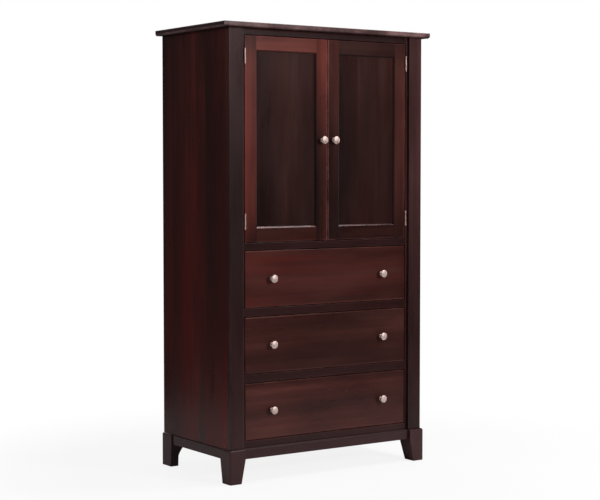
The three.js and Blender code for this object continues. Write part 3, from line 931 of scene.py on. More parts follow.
class Workshop:
    """Turns surfaces into pieces of the armoire, and counts them."""

    def __init__(self) -> None:
        """Starts the finishes and the one line of random numbers."""
        self.finishes = Finishes()
        self.random = np.random.default_rng(SEED)
        self.count = 0
        self.triangles = 0

    @staticmethod
    def _carry(mesh: bpy.types.Mesh, domain: str, **layers: Array) -> None:
        """Writes what the finishes read onto a mesh.

        Args:
            mesh: The mesh.
            domain: POINT or FACE.
            layers: A number or a vector for each point or face, by the layer's name.
        """
        for name, values in layers.items():
            kind, key = ("FLOAT", "value") if values.ndim == 1 else ("FLOAT_VECTOR", "vector")
            layer = mesh.attributes.new(name, kind, domain)
            layer.data.foreach_set(key, values.astype(np.float32).ravel())

    def _piece(self, name: str, surface: Surface, material: bpy.types.Material,
               body: str, nodes: Sequence[str]) -> bpy.types.Mesh:
        """An object that holds a surface, smooth with the surface's own normals.

        Args:
            name: The piece's name.
            surface: Its shape.
            material: What it is made of.
            body: The body it rides on.
            nodes: The solids it stands for.

        Returns:
            Its mesh.
        """
        mesh = bpy.data.meshes.new(name)
        faces = surface.quads.tolist() + [cap.tolist() for cap in surface.caps]
        mesh.from_pydata(surface.points.tolist(), [], faces)
        mesh.polygons.foreach_set("use_smooth", np.ones(len(faces), bool))
        self._carry(mesh, "POINT", wear=surface.wear)
        mesh.update()
        mesh.normals_split_custom_set_from_vertices(surface.normals().tolist())
        mesh.materials.append(material)
        made = bpy.data.objects.new(name, mesh)
        bpy.context.scene.collection.objects.link(made)
        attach(made, body)
        if nodes:
            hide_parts(*nodes)
        self.count += 1
        self.triangles += sum(len(face) - 2 for face in faces)
        log.info("%s rides on %s", made.name, body)
        return mesh

    def wooden(self, name: str, surface: Surface, finish: WoodFinish, grain: Grain, body: str,
               nodes: Sequence[str] = (), boards: Boards = Boards()) -> None:
        """Makes a wooden piece.

        Args:
            name: The piece's name.
            surface: Its shape.
            finish: Its wood.
            grain: The way its grain runs.
            body: The body it rides on.
            nodes: The solids it stands for.
            boards: How it is glued up.
        """
        material = self.finishes.wood(finish, grain)
        mesh = self._piece(name, surface, material, body, nodes)
        axis, long, count = boards.axis, grain.value[2], len(boards.joints) + 1
        low, high = surface.points.min(axis=0), surface.points.max(axis=0)
        limits = np.r_[low[axis], boards.joints, high[axis]]
        middles = np.tile((low + high) / 2, (count, 1))
        middles[:, axis] = (limits[:-1] + limits[1:]) / 2
        run = high[long] - low[long]
        of_board = {
            "board": self.random.random(count),
            "tone": boards.tone + boards.spread * (self.random.random(count) * 2 - 1) * (count > 1),
            "red": boards.red * (0.7 + 0.6 * self.random.random(count)),
            "rise": boards.rise, "bow": boards.bow, "ends": boards.ends, "blush": boards.blush,
            "run": run,
        }
        number = np.searchsorted(boards.joints, surface.face_centres()[:, axis])
        self._carry(mesh, "FACE", board_centre=middles[number],
                    **{key: np.resize(value, count)[number] for key, value in of_board.items()})
        drift = np.interp(surface.points[:, axis], limits, boards.across or [0.0] * len(limits))
        # the share of painted shade at each point goes onto the mesh too
        self._carry(mesh, "POINT", along=(surface.points[:, long] - low[long]) / run,
                    pooled=np.resize(surface.pooled, len(surface.points)), drift=drift)

    def plated(self, name: str, surface: Surface, finish: MetalFinish, body: str,
               nodes: Sequence[str] = (), axis: tuple[int, Sequence[float]] | None = None) -> None:
        """Makes a metal piece.

        Args:
            name: The piece's name.
            surface: Its shape.
            finish: Its plating.
            body: The body it rides on.
            nodes: The solids it stands for.
            axis: The axis it was turned about and a point on it, if it comes from a lathe.
        """
        material = self.finishes.metal(finish)
        mesh = self._piece(name, surface, material, body, nodes)
        radius = surface.points[:, 2]
        if axis is not None:
            away = np.delete(surface.points - axis[1], axis[0], axis=1)
            radius = np.linalg.norm(away, axis=1)
        self._carry(mesh, "POINT", radius=radius)

    def moulded(self, name: str, surface: Surface, body: str) -> None:
        """Makes a plastic piece that belongs to the case."""
        self._piece(name, surface, self.finishes.plastic(), body, [])


@dataclass
class Part:
    """A sub-assembly: its sizes, and the workshop where its pieces are made."""

    shop: Workshop


@dataclass
class Top(Part):
    """The slab: boards glued up across, bevelled underneath at the front and the ends.

    bevel gives how far in, how high and how worn each point of its bevel is, from below; on the
    slab the worn colour also paints the highlight of its edges.
    """

    bevel: tuple[Corner, ...] = (
        (0.009, 0.0, 0.8), (0.0078, 0.0006, 0.5), (0.0013, 0.0051, 0.5), (0.0003, 0.0059, 1.0),
        (0.0, 0.0067, 0.8))
    edge_ease: float = 0.002
    corner: float = 0.0015
    # the front edge face within this of the front takes the painted highlight in full
    front_zone: float = 0.0005
    boards: int = 5

    def build(self) -> None:
        """Makes the slab.

        Its plan outline is drawn in at each height as the bevel and the eased edge ask, but not
        behind, where the slab meets the wall.
        """
        low, high = corners_of("top_slab")
        joints = evenly(low[1], high[1], self.boards)
        plan = rectangle(low[0], high[0], low[1], high[1], self.corner).cut_at(1, joints)
        ease, tall, end = self.edge_ease, high[2] - low[2], self.bevel[-1][1] + WEAR_FADE
        inset, height, worn = np.array([
            (self.bevel[0][0] + WEAR_FADE, 0.0, 0.0), *self.bevel, (0.0, end, 0.0),
            (0.0, tall - ease - WEAR_FADE, 0.0),
            *[(x, tall + z, 1.0) for x, z in arc((ease, -ease), (-ease, ease), 0, 90, ARC_STEPS)],
            (ease + WEAR_FADE, tall, 0.0),
        ]).T
        flat = plan.inset(inset)
        behind = plan.place[:, 1] > high[1] - self.corner
        flat[:, behind, 1] += inset[:, None]
        flat[:, :, 1] = np.minimum(flat[:, :, 1], high[1])
        rings = np.dstack([flat, np.broadcast_to((low[2] + height)[:, None], flat.shape[:2])])
        wear = np.maximum(worn[:, None], plan.wear[None] * (worn[:, None] > 0))
        edge = len(self.bevel) + 1
        # painted highlight over the whole front edge face
        wear[edge:edge + 2] = 1.0 * (plan.place[:, 1] < low[1] + self.front_zone)
        self.shop.wooden("top_board", skin(rings, wear, strips=True), STAINED_TOP, Grain.ACROSS,
                         "case", ["top_slab"], Boards(1, joints, tone=-0.1))


@dataclass
class CornerPost(Part):
    """A front post: a proud face with eased edges, and a recessed strip beside the opening.

    radii has one number for each corner, seen from above, from the inner edge of the face round.
    """

    face_width: float = 0.065
    side_face: float = 0.018
    recess: float = 0.012
    tongue: float = 0.0183
    radii: Floats = (0.002, 0.002, 0.0009, 0.0003, 0.0007, 0.0007, 0.0007, 0.0004)
    end_ease: Pair = (0.0006, 0.001)
    looks: tuple[Boards, Boards] = (
        Boards(tone=0.42, rise=0.2, bow=-0.8, red=0.05), Boards(tone=-0.33, rise=1.1, red=0.0))

    def build(self) -> None:
        """Makes both posts, the right one carried up from its outline seen from above."""
        low, high = corners_of("post_right")
        (inner, front), (outer, back) = (high[0] - self.face_width, low[1]), high[:2]
        root, strip, side_end = outer - self.tongue, front + self.recess, front + self.side_face
        outline = rounded(list(zip(
            (inner, outer, outer, root, root, low[0], low[0], inner),
            (front, front, side_end, side_end, back, back, strip, strip), self.radii)))
        post = sweep(outline, Grain.UPRIGHT, low[2], high[2], *self.end_ease)
        for side, boards in zip(Side, self.looks):
            self.shop.wooden(f"corner_post_{side}", side.take(post, Side.RIGHT), STAINED_POST,
                             Grain.UPRIGHT, "case", [f"post_{side}"], boards)


@dataclass
class CaseSide(Part):
    """A side panel: upright boards glued up, rebated for the back, with pegs for the shelf.

    radii has one number for each corner, seen from above, from the inner front edge round.
    """

    thickness: float = 0.018
    rebate: float = 0.010
    back: float = 0.0063
    radii: Floats = (0.0004, 0.0009, 0.001, 0.0006, 0.0004, 0.0006)
    end_ease: Pair = (0.0008, 0.0012)
    boards: int = 6
    peg_radius: float = 0.003
    peg_reach: float = 0.012
    peg_depth: float = 0.004
    peg_collar: float = 0.0048
    peg_round: float = 0.0008
    peg_tip: float = 0.0006
    collar_depth: float = 0.0005
    collar_height: float = 0.001
    collar_end: float = 0.0025
    peg_margin: float = 0.055
    peg_segments: int = 24
    looks: Boards = Boards(
        tone=0.1, bow=(-0.7, -0.6, -0.2, 0.0, 0.15, 0.2), red=0.1, blush=1.3, spread=0.06,
        across=(0.38, 0.16, 0.15, 0.52, -0.08, -0.5, -0.57))

    @property
    def pegs(self) -> list[Surface]:
        """Two shelf pegs: a turned pin with a collar against the panel."""
        high = corners_of("side_panel_right")[1]
        shelf_low, shelf_high = corners_of("adjustable_shelf")
        pin, reach, collar, r = self.peg_radius, self.peg_reach, self.peg_collar, self.peg_round
        profile = np.concatenate([
            [[r, -self.peg_depth], [pin, -self.peg_depth], [pin, -self.collar_depth],
             [collar, -self.collar_depth], [collar, self.collar_height]],
            arc((pin, self.collar_height), (r, r), 0, 90, 3),
            [[pin, self.collar_end], [pin, reach - r]],
            arc((pin - r, reach - r), (r, r), 15, 90, 4), [[self.peg_tip, reach]]])
        inner, height = high[0] - self.thickness, shelf_low[2] - SEAM - pin
        return [turned(profile, (inner, y, height), 0, -1.0, self.peg_segments)
                for y in (shelf_low[1] + self.peg_margin, shelf_high[1] - self.peg_margin)]

    def build(self) -> None:
        """Makes both side panels, each carried up from its outline, and their pegs."""
        low, high = corners_of("side_panel_right")
        joints = evenly(low[1], high[1], self.boards)
        inner, rear = high[0] - self.thickness, high[1] - self.back
        ledge = inner + self.rebate
        outline = rounded(list(zip((inner, high[0], high[0], ledge, ledge, inner),
                                   (low[1], low[1], high[1], high[1], rear, rear), self.radii)))
        panel = sweep(outline.cut_at(1, joints), Grain.UPRIGHT, low[2], high[2], *self.end_ease)
        boards, pegs = replace(self.looks, axis=1, joints=joints), self.pegs
        for side in Side:
            self.shop.wooden(f"case_side_{side}", side.take(panel, Side.RIGHT), STAINED_CASE,
                             Grain.UPRIGHT, "case", [f"side_panel_{side}"], boards)
            for place, peg in zip(("front", "back"), pegs):
                self.shop.plated(f"shelf_peg_{side}_{place}", side.take(peg, Side.RIGHT),
                                 ZINC_STEEL, "case")


@dataclass
class Screw:
    """A screw's head: a low dome with a cross recess.

    rings are the radii of its grid, and arm_end where an arm ends and how softly, all as shares of
    its radius. slope is the share of an arm's width in which it reaches its depth, deepest how far
    a recess goes below the rim as a share of its depth, and rim how high the rim stands.
    """

    radius: float = 0.003
    proud: float = 0.0008
    recess: float = 0.0007
    arm_width: float = 0.00055
    buried: float = 0.0008
    segments: int = 24
    rings: Floats = (1.0, 1.0, 0.97, 0.88, 0.74, 0.62, 0.5, 0.38, 0.26, 0.14)
    arm_end: Pair = (0.66, 0.1)
    slope: float = 0.35
    deepest: float = 0.4
    rim: float = 0.15

    def surface(self, centre: Sequence[float], axis: int, sign: float) -> Surface:
        """The dome on a polar grid, sunk where a point lies on either arm of the cross.

        The height is proud times (1 - (r / radius) squared), less the recess times how far the
        point is inside an arm.

        Args:
            centre: Where the axis meets what the screw holds.
            axis: The axis it stands on.
            sign: The way it faces on that axis.

        Returns:
            The surface.
        """
        share, (end, fade) = np.array(self.rings)[:, None], self.arm_end
        rings = rings_about(axis, sign, self.radius * share[:, 0], 0 * share[:, 0], self.segments)
        narrow = np.abs(np.delete(rings, axis, axis=-1)).min(axis=-1)
        arm = np.clip((self.arm_width - narrow) / (self.slope * self.arm_width), 0, 1)
        arm = arm * np.clip((end - share) / fade, 0, 1)
        height = self.proud * (1 - share ** 2) - self.recess * arm
        height = np.maximum(height, -self.deepest * self.recess)
        height[:2] = [[-self.buried], [self.rim * self.proud]]
        rings[..., axis] = height * sign
        return skin(rings + centre)


BACK_SCREW = Screw(0.0032, 0.0009)
HINGE_SCREW = Screw(0.0026, 0.00025)
PULL_SCREW = Screw(0.0042, 0.0018, 0.0012)


@dataclass
class BackBoard(Part):
    """The thin back, with a round hole for the cables and a row of screws along each edge."""

    hole_radius: float = 0.038
    hole_height: float = 0.12
    ease: float = 0.0008
    rays: int = 96
    ray_start: float = 0.013
    screws_up: int = 7
    screws_across: int = 5
    column_margin: Pair = (0.005, 0.05)
    row_margin: Pair = (0.07, 0.006)
    top_margin: float = 0.012

    def build(self) -> None:
        """Makes the back and its screws.

        Rings of points lie round the hole, from its wall out over each face to the edges of the
        board. A ray leaves the hole's centre at each angle, and meets the edge where the first of
        the four sides cuts it.
        """
        low, high = corners_of("back_panel")
        centre = np.array([0.0, corners_of("tv_deck")[1][2] + self.hole_height])
        sides = np.array([low[0], high[0], low[2], high[2]])
        corners = np.array([(x, z) for x in sides[:2] for z in sides[2:]]) - centre
        angles = np.sort(np.r_[
            np.linspace(0, 2 * math.pi, self.rays, endpoint=False) + self.ray_start,
            np.arctan2(corners[:, 1], corners[:, 0]) % (2 * math.pi)])
        ray = np.c_[np.cos(angles), np.sin(angles)]
        with np.errstate(divide="ignore"):
            reach = np.stack([(sides[:2, None] - centre[0]) / ray[:, 0],
                              (sides[2:, None] - centre[1]) / ray[:, 1]])
        reach = np.where(reach > 0, reach, np.inf).min(axis=(0, 1))
        e, hole, front, back = self.ease, np.full(len(angles), self.hole_radius), low[1], high[1]
        length = np.stack([reach - e, hole + e, hole, hole, hole + e, reach - e, reach, reach])
        depth = np.array([front, front, front + e, back - e, back, back, back - e, front + e])
        rings = np.zeros((*length.shape, 3))
        rings[..., 0] = centre[0] + ray[:, 0] * length
        rings[..., 1] = depth[:, None]
        rings[..., 2] = centre[1] + ray[:, 1] * length
        self.shop.wooden("back_board", skin(rings, hoop=True), STAINED_INSIDE, Grain.UPRIGHT,
                         "case", ["back_panel"], Boards(tone=0.1))
        (side, end), (start, floor) = self.column_margin, self.row_margin
        up = np.linspace(low[2] + end, high[2] - end, self.screws_up)
        across = np.linspace(low[0] + start, high[0] - start, self.screws_across)
        places = [(x, z) for z in up for x in (low[0] + side, high[0] - side)]
        places += [(x, z) for x in across for z in (low[2] + floor, high[2] - self.top_margin)]
        heads = [BACK_SCREW.surface((x, high[1], z), 1, 1.0) for x, z in places]
        self.shop.plated("back_screws", join(heads), ZINC_STEEL, "case")


@dataclass
class FrontRails(Part):
    """The rails between the posts, with the catch of both doors under the top one."""

    ease: float = 0.0012
    thickness: float = 0.020
    catch_width: float = 0.056
    catch_drop: float = 0.016
    catch_height: float = 0.034
    catch_depth: float = 0.013
    catch_ease: float = 0.0015
    pole_places: Floats = (-0.0155, -0.0105, 0.0105, 0.0155)
    pole_width: float = 0.0016
    pole_height: float = 0.011
    pole_depth: float = 0.006
    pole_raise: float = 0.002
    pole_proud: float = 0.0001
    pole_ease: float = 0.0002
    looks: tuple[tuple[str, Boards], ...] = (
        ("rail_top", Boards(red=0.0)), ("rail_under_doors", Boards(tone=-0.35)),
        ("rail_under_top_drawer", Boards(tone=-0.2)),
        ("rail_under_middle_drawer", Boards(tone=-0.15)), ("rail_bottom", Boards()))

    def build(self) -> None:
        """Makes the rails and the catch."""
        for node, boards in self.looks:
            low, high = corners_of(node)
            if node == "rail_top":
                low[2] += self.catch_drop
                high[1] = low[1] + self.thickness
            self.shop.wooden(f"front_{node}", plank(low, high, Grain.ACROSS, self.ease),
                             STAINED_FRAME, Grain.ACROSS, "case", [node], boards)
        self._catch()

    def _catch(self) -> None:
        """A moulded block on the rail's back, with two pairs of steel poles in its front."""
        low = corners_of("rail_top")[0]
        half, front = self.catch_width / 2, low[1] + self.thickness + SEAM
        back, foot = front - SEAM + self.catch_depth, low[2] + self.pole_raise
        block = plank((-half, front, low[2]), (half, back, low[2] + self.catch_height),
                      Grain.ACROSS, self.catch_ease)
        self.shop.moulded("catch_block", block, "case")
        half = self.pole_width / 2
        poles = [plank((x - half, front - self.pole_proud, foot),
                       (x + half, front + self.pole_depth, foot + self.pole_height),
                       Grain.UPRIGHT, self.pole_ease) for x in self.pole_places]
        self.shop.plated("catch_poles", join(poles), ZINC_STEEL, "case")


@dataclass
class Shelves(Part):
    """The deck under the television space, the bottom of the case and the shelf on its pegs.

    rows gives the solid, the piece, the width of the edging before its boards, how many boards
    there are and the radius of the edges.
    """

    rows: tuple[tuple[str, str, float, int, float], ...] = (
        ("tv_deck", "television_deck", 0.0, 5, 0.001),
        ("bottom_panel", "case_bottom", 0.0, 4, 0.001),
        ("adjustable_shelf", "loose_shelf", 0.019, 4, 0.0016))

    def build(self) -> None:
        """Makes the three of them."""
        for node, name, edging, count, ease in self.rows:
            low, high = corners_of(node)
            joints = evenly(low[1] + edging, high[1], count)
            boards = Boards(1, (low[1] + edging, *joints) if edging else joints, red=0.3)
            self.shop.wooden(name, plank(low, high, Grain.ACROSS, ease, boards), STAINED_INSIDE,
                             Grain.ACROSS, "case", [node], boards)


def drawn_in(radius: float, past: Array) -> Array:
    """How far in a rounded edge has come, this far past the point where its rounding starts."""
    return radius - np.sqrt(np.maximum(0, radius ** 2 - past ** 2))


@dataclass
class Base(Part):
    """Aprons bevelled along their upper outer edge, between feet that taper on their inner faces.

    Each width and depth of a foot is that at the floor and that at the apron.
    """

    apron_bevel: float = 0.005
    fine_ease: float = 0.0012
    end_ease: float = 0.0006
    foot_round: float = 0.0075
    corner_round: float = 0.008
    inner_round: float = 0.002
    bottom_ease: float = 0.002
    lid_inset: float = 0.0015
    taper_start: float = 0.006
    taper_rings: int = 26
    block_rings: Pair = (0.01, 0.004)
    apron_low: float = 0.095
    straight: float = 0.040
    curve_power: float = 1.5
    front_foot: tuple[Pair, Pair] = ((0.054, 0.073), (0.061, 0.077))
    back_foot: tuple[Pair, Pair] = ((0.037, 0.073), (0.072, 0.076))
    crown_wear: Pair = (0.7, 0.004)
    floor_wear: float = 0.003
    corner_wear: float = 0.5
    # painted shade on the front apron's upper bevel
    bevel_shade: float = 0.6
    arc_steps: int = 7

    def apron(self, node: str, grain: Grain) -> Surface:
        """The front apron or the left one, from its cross-section.

        Args:
            node: The solid.
            grain: The way it runs.

        Returns:
            The surface, with painted shade on the bevel of the front one.
        """
        low, high = corners_of(node)
        (u, _, s), e, b = grain.value, self.fine_ease, self.apron_bevel
        if grain is Grain.DEEP:
            section = ((low[2], low[0]), (high[2] - b, low[0]), (high[2], low[0] + b),
                       (high[2], high[0]), (low[2], high[0]))
        else:
            section = ((low[u], low[2]), (high[u], low[2]), (high[u], high[2]),
                       (low[u] + b, high[2]), (low[u], high[2] - b))
        made = sweep(rounded([(*place, e) for place in section]), grain, low[s], high[s],
                     self.end_ease)
        if grain is Grain.ACROSS:
            y, z = made.points[:, 1], made.points[:, 2]
            # painted shade along the bevel
            made.pooled = self.bevel_shade * (z > high[2] - b - e) * (y < low[1] + b + e)
        return made

    def foot(self, front: bool) -> Surface:
        """A left foot as a stack of rounded rectangles.

        Its outer faces draw in over the rounded upper edge as foot_round less the height of a
        circle of that radius. Its inner faces move out with the height as a straight taper, and at
        the back foot as a power of the rise above its straight part.

        Args:
            front: Whether it is a front foot.

        Returns:
            The surface.
        """
        low, high = corners_of("foot_front_left" if front else "foot_back_left")
        top, crown, inner = high[2], self.foot_round, self.inner_round
        turn = np.linspace(0, math.pi / 2, self.arc_steps)
        z = np.r_[
            0, 0, self.bottom_ease * (1 - np.cos(turn[1:])),
            np.linspace(self.taper_start, self.apron_low, self.taper_rings),
            self.apron_low + self.block_rings[0], top - crown - self.block_rings[1],
            top - crown * (1 - np.sin(turn)), top]
        share = np.clip(z / self.apron_low, 0, 1)
        ease = drawn_in(self.bottom_ease, np.maximum(0, self.bottom_ease - z))
        ease[0] += self.lid_inset
        draw = drawn_in(crown, np.maximum(0, z - (top - crown)))
        draw[-1] += self.lid_inset
        above = np.clip((z - self.straight) / (self.apron_low - self.straight), 0, 1)
        flare = share if front else above ** self.curve_power
        widths, depths = self.front_foot if front else self.back_foot
        width = widths[0] + (widths[1] - widths[0]) * flare
        depth = depths[0] + (depths[1] - depths[0]) * share
        x0, x1 = low[0] + ease + draw, low[0] + width - ease
        y0, y1 = low[1] + ease + draw, low[1] + depth - ease
        if not front:
            y0, y1 = high[1] - depth + ease, high[1] - ease
        r = np.array([self.corner_round if front else inner, inner, inner, inner])[:, None]
        inward = np.array([[1, 1], [-1, 1], [-1, -1], [1, -1]])
        angle = np.radians([180, 270, 0, 90])[:, None] + turn
        x = np.c_[x0, x1, x1, x0][..., None] + inward[:, :1] * r + r * np.cos(angle)
        y = np.c_[y0, y0, y1, y1][..., None] + inward[:, 1:] * r + r * np.sin(angle)
        rings = np.stack([x, y, np.broadcast_to(z[:, None, None], x.shape)], axis=-1)
        rings = rings.reshape(len(z), -1, 3)
        most, reach = self.crown_wear
        worn = np.exp(-((z - top + crown * 0.4) / reach) ** 2) * most
        worn = worn + np.exp(-(z / self.floor_wear) ** 2)
        wear = np.repeat(worn[:, None], rings.shape[1], axis=1)
        wear[:, 2:5] += self.corner_wear  # the middle of the outer corner
        wear[[0, -1]] = 0
        return skin(rings, np.clip(wear, 0, 1))

    def build(self) -> None:
        """Makes the aprons and the feet."""
        along = Grain.ACROSS
        for node, name, surface, red in (
                ("apron_front", "base_front", self.apron("apron_front", along), 0.3),
                ("apron_back", "base_back", plank(*corners_of("apron_back"), along), 0.2)):
            self.shop.wooden(name, surface, STAINED_BASE, along, "case", [node], Boards(red=red))
        parts = (
            ("base", "apron", self.apron("apron_left", Grain.DEEP), Grain.DEEP,
             Boards(tone=-0.1, red=0.15)),
            ("front_foot", "foot_front", self.foot(True), Grain.UPRIGHT, Boards(tone=0.2, red=0.0)),
            ("back_foot", "foot_back", self.foot(False), Grain.UPRIGHT, Boards(tone=-0.1, red=0.1)))
        for side in Side:
            for name, node, surface, grain, boards in parts:
                self.shop.wooden(f"{name}_{side}", side.take(surface, Side.LEFT), STAINED_BASE,
                                 grain, "case", [f"{node}_{side}"], boards)


@dataclass
class Knob(Part):
    """A turned knob: flange, coved neck, flared head, rim and low dome."""

    projection: float = 0.0285
    head: float = 0.016
    base: float = 0.008
    neck: float = 0.005
    flange: float = 0.002
    neck_height: float = 0.012
    rim_height: float = 0.0225
    rim_round: float = 0.0007
    bore: float = 0.0012
    foot_round: float = 0.0004
    flange_round: float = 0.0005
    cove_start: float = 0.0006
    segments: int = 72

    @property
    def profile(self) -> Array:
        """Quarter ellipses over the flange, down the cove, out under the head and over the dome."""
        rim, r, foot, lip = self.rim_height, self.rim_round, self.foot_round, self.flange_round
        cove, neck_height = self.base - self.cove_start, self.neck_height
        return np.concatenate([
            [[self.bore, 0.0], [self.base - foot, 0.0]],
            arc((self.base - foot, foot), (foot, foot), -60, 0, 2),
            arc((self.base - lip, self.flange - lip), (lip, lip), 0, 90, 3),
            arc((cove, neck_height), (self.neck - cove, self.flange - neck_height), 82, 0, 10),
            arc((self.head, neck_height), (self.neck - self.head, rim - r - neck_height), 6, 84,
                14),
            arc((self.head - r, rim), (r, r), -70, 30, 5),
            arc((0.0, rim), (self.head - r * 0.4, self.projection - rim), 9, 88.5, 18)])

    def build(self, node: str, body: str) -> None:
        """Makes the knob that stands for a solid, on a face that looks to the front.

        Args:
            node: The solid.
            body: The body it rides on.
        """
        x, _, z = centre_of(node)
        centre = (x, corners_of(node)[1][1], z)
        surface = turned(self.profile, centre, 1, -1.0, self.segments)
        self.shop.plated(node.replace("_knob", "_pull"), surface, SATIN_NICKEL, body, [node],
                         (1, centre))


@dataclass
class Hinge(Part):
    """A butt hinge: end knuckles and a U of plate on the case, the rest nested on the door."""

    axis_place: float = 0.4035
    half: float = 0.03175
    end_knuckle: float = 0.014
    gap: float = 0.0004
    barrel: float = 0.00375
    pin: float = 0.0015
    pin_lap: float = 0.001
    pin_centre: float = 0.0004
    barrel_centre: float = 0.0006
    bore: float = 0.0019
    face: float = 0.0015
    thickness: float = 0.002
    reach: float = 0.0222
    bridge: float = 0.006
    root: float = 0.0024
    tip_ease: float = 0.0007
    plate_corner: Pair = (0.0007, 0.0004)
    plate_ease: Pair = (0.00025, 0.0003)
    case_screws: Pair = (0.6, 0.007)
    door_screws: Pair = (0.62, 0.55)
    barrel_segments: int = 48
    pin_segments: int = 24

    def _knuckle(self, low: float, high: float) -> Surface:
        """A solid knuckle about the hinge axis, with eased ends.

        Args:
            low: Its lower end.
            high: Its upper end.

        Returns:
            The surface.
        """
        e, core = self.tip_ease, self.barrel_centre
        profile = np.concatenate([
            [[core, low]], arc((self.barrel - e, low + e), (e, e), -90, 0, 4),
            arc((self.barrel - e, high - e), (e, e), 0, 90, 4), [[core, high]]])
        return turned(profile, (0, 0, 0), 2, 1.0, self.barrel_segments)

    def _plate(self, corners: Sequence[Pair], low: float, high: float) -> Surface:
        """A leaf's plate: its outline in y and z, carried through its thickness."""
        radius, fade = self.plate_corner
        outline = rounded([(y, z, radius) for y, z in corners], fade)
        return sweep(outline, Grain.ACROSS, low, high, *self.plate_ease)

    @property
    def case_leaf(self) -> Surface:
        """The leaf on the case about its axis, for a right-hand door."""
        half, low, root, inner = self.half, self.half - self.end_knuckle, self.root, self.pin_centre
        back, bridge, behind = self.reach, self.reach - self.bridge, self.face - self.thickness
        plate = self._plate([
            (root, -half), (back, -half), (back, half), (root, half), (root, low), (bridge, low),
            (bridge, -low), (root, -low)], behind, self.face)
        end = low + self.pin_lap
        pin = np.array([(inner, -end), (self.pin, -end), (self.pin, end), (inner, end)])
        along, margin = self.case_screws
        screws = [HINGE_SCREW.surface((behind, back * along, z), 0, -1.0)
                  for z in (-half + margin, half - margin)]
        return join([self._knuckle(-half, -low), self._knuckle(low, half), plate,
                     turned(pin, (0, 0, 0), 2, 1.0, self.pin_segments), *screws])

    @property
    def door_leaf(self) -> Surface:
        """The leaf on the door about its axis, for a right-hand door."""
        half, barrel, e = self.half - self.end_knuckle - self.gap, self.barrel, self.tip_ease * 0.5
        radius, height = np.array([
            (self.bore, half), (self.bore, -half), (barrel - e, -half), (barrel, -half + e),
            (barrel, half - e), (barrel - e, half)]).T
        back, front = self.reach - self.bridge - self.gap, self.thickness - self.face
        plate = self._plate([(self.root, -half), (back, -half), (back, half), (self.root, half)],
                            -self.face, front)
        along, up = self.door_screws
        screws = [HINGE_SCREW.surface((front, back * along, z), 0, 1.0)
                  for z in (-half * up, half * up)]
        barrel = skin(rings_about(2, 1.0, radius, height, self.barrel_segments), hoop=True)
        return join([barrel, plate, *screws])

    def build(self, side: Side, level: str) -> None:
        """Makes both leaves of one hinge.

        Args:
            side: The door's side.
            level: top or bottom.
        """
        door, hinge = f"door_{side}", f"hinge_{side}_{level}"
        node = f"{door}_hinge_{level}"
        axis = (side.sign * self.axis_place, corners_of(f"{node}_case_leaf")[0][1] + self.barrel,
                centre_of(f"{node}_case_leaf")[2])
        for part, leaf, body in (("case", self.case_leaf, "case"),
                                 ("door", self.door_leaf, door)):
            self.shop.plated(f"{hinge}_on_{part}", side.take(leaf, Side.RIGHT).moved(axis),
                             HINGE_NICKEL, body, [f"{node}_{part}_leaf"], (2, axis))


MEETING_STILE = "door_right_stile_knob_side"
OUTER_STILE = "door_right_stile_hinge_side"


@dataclass
class DoorLooks:
    """How the wood of one door looks, member by member."""

    hinge_stile: Boards
    knob_stile: Boards
    top_rail: Boards
    bottom_rail: Boards
    panel: Boards
    # worn-edge colour on the outer edges, and on the sill's bevel: wear and painted highlight
    outer_wear_and_highlight: float
    sill_highlight: float


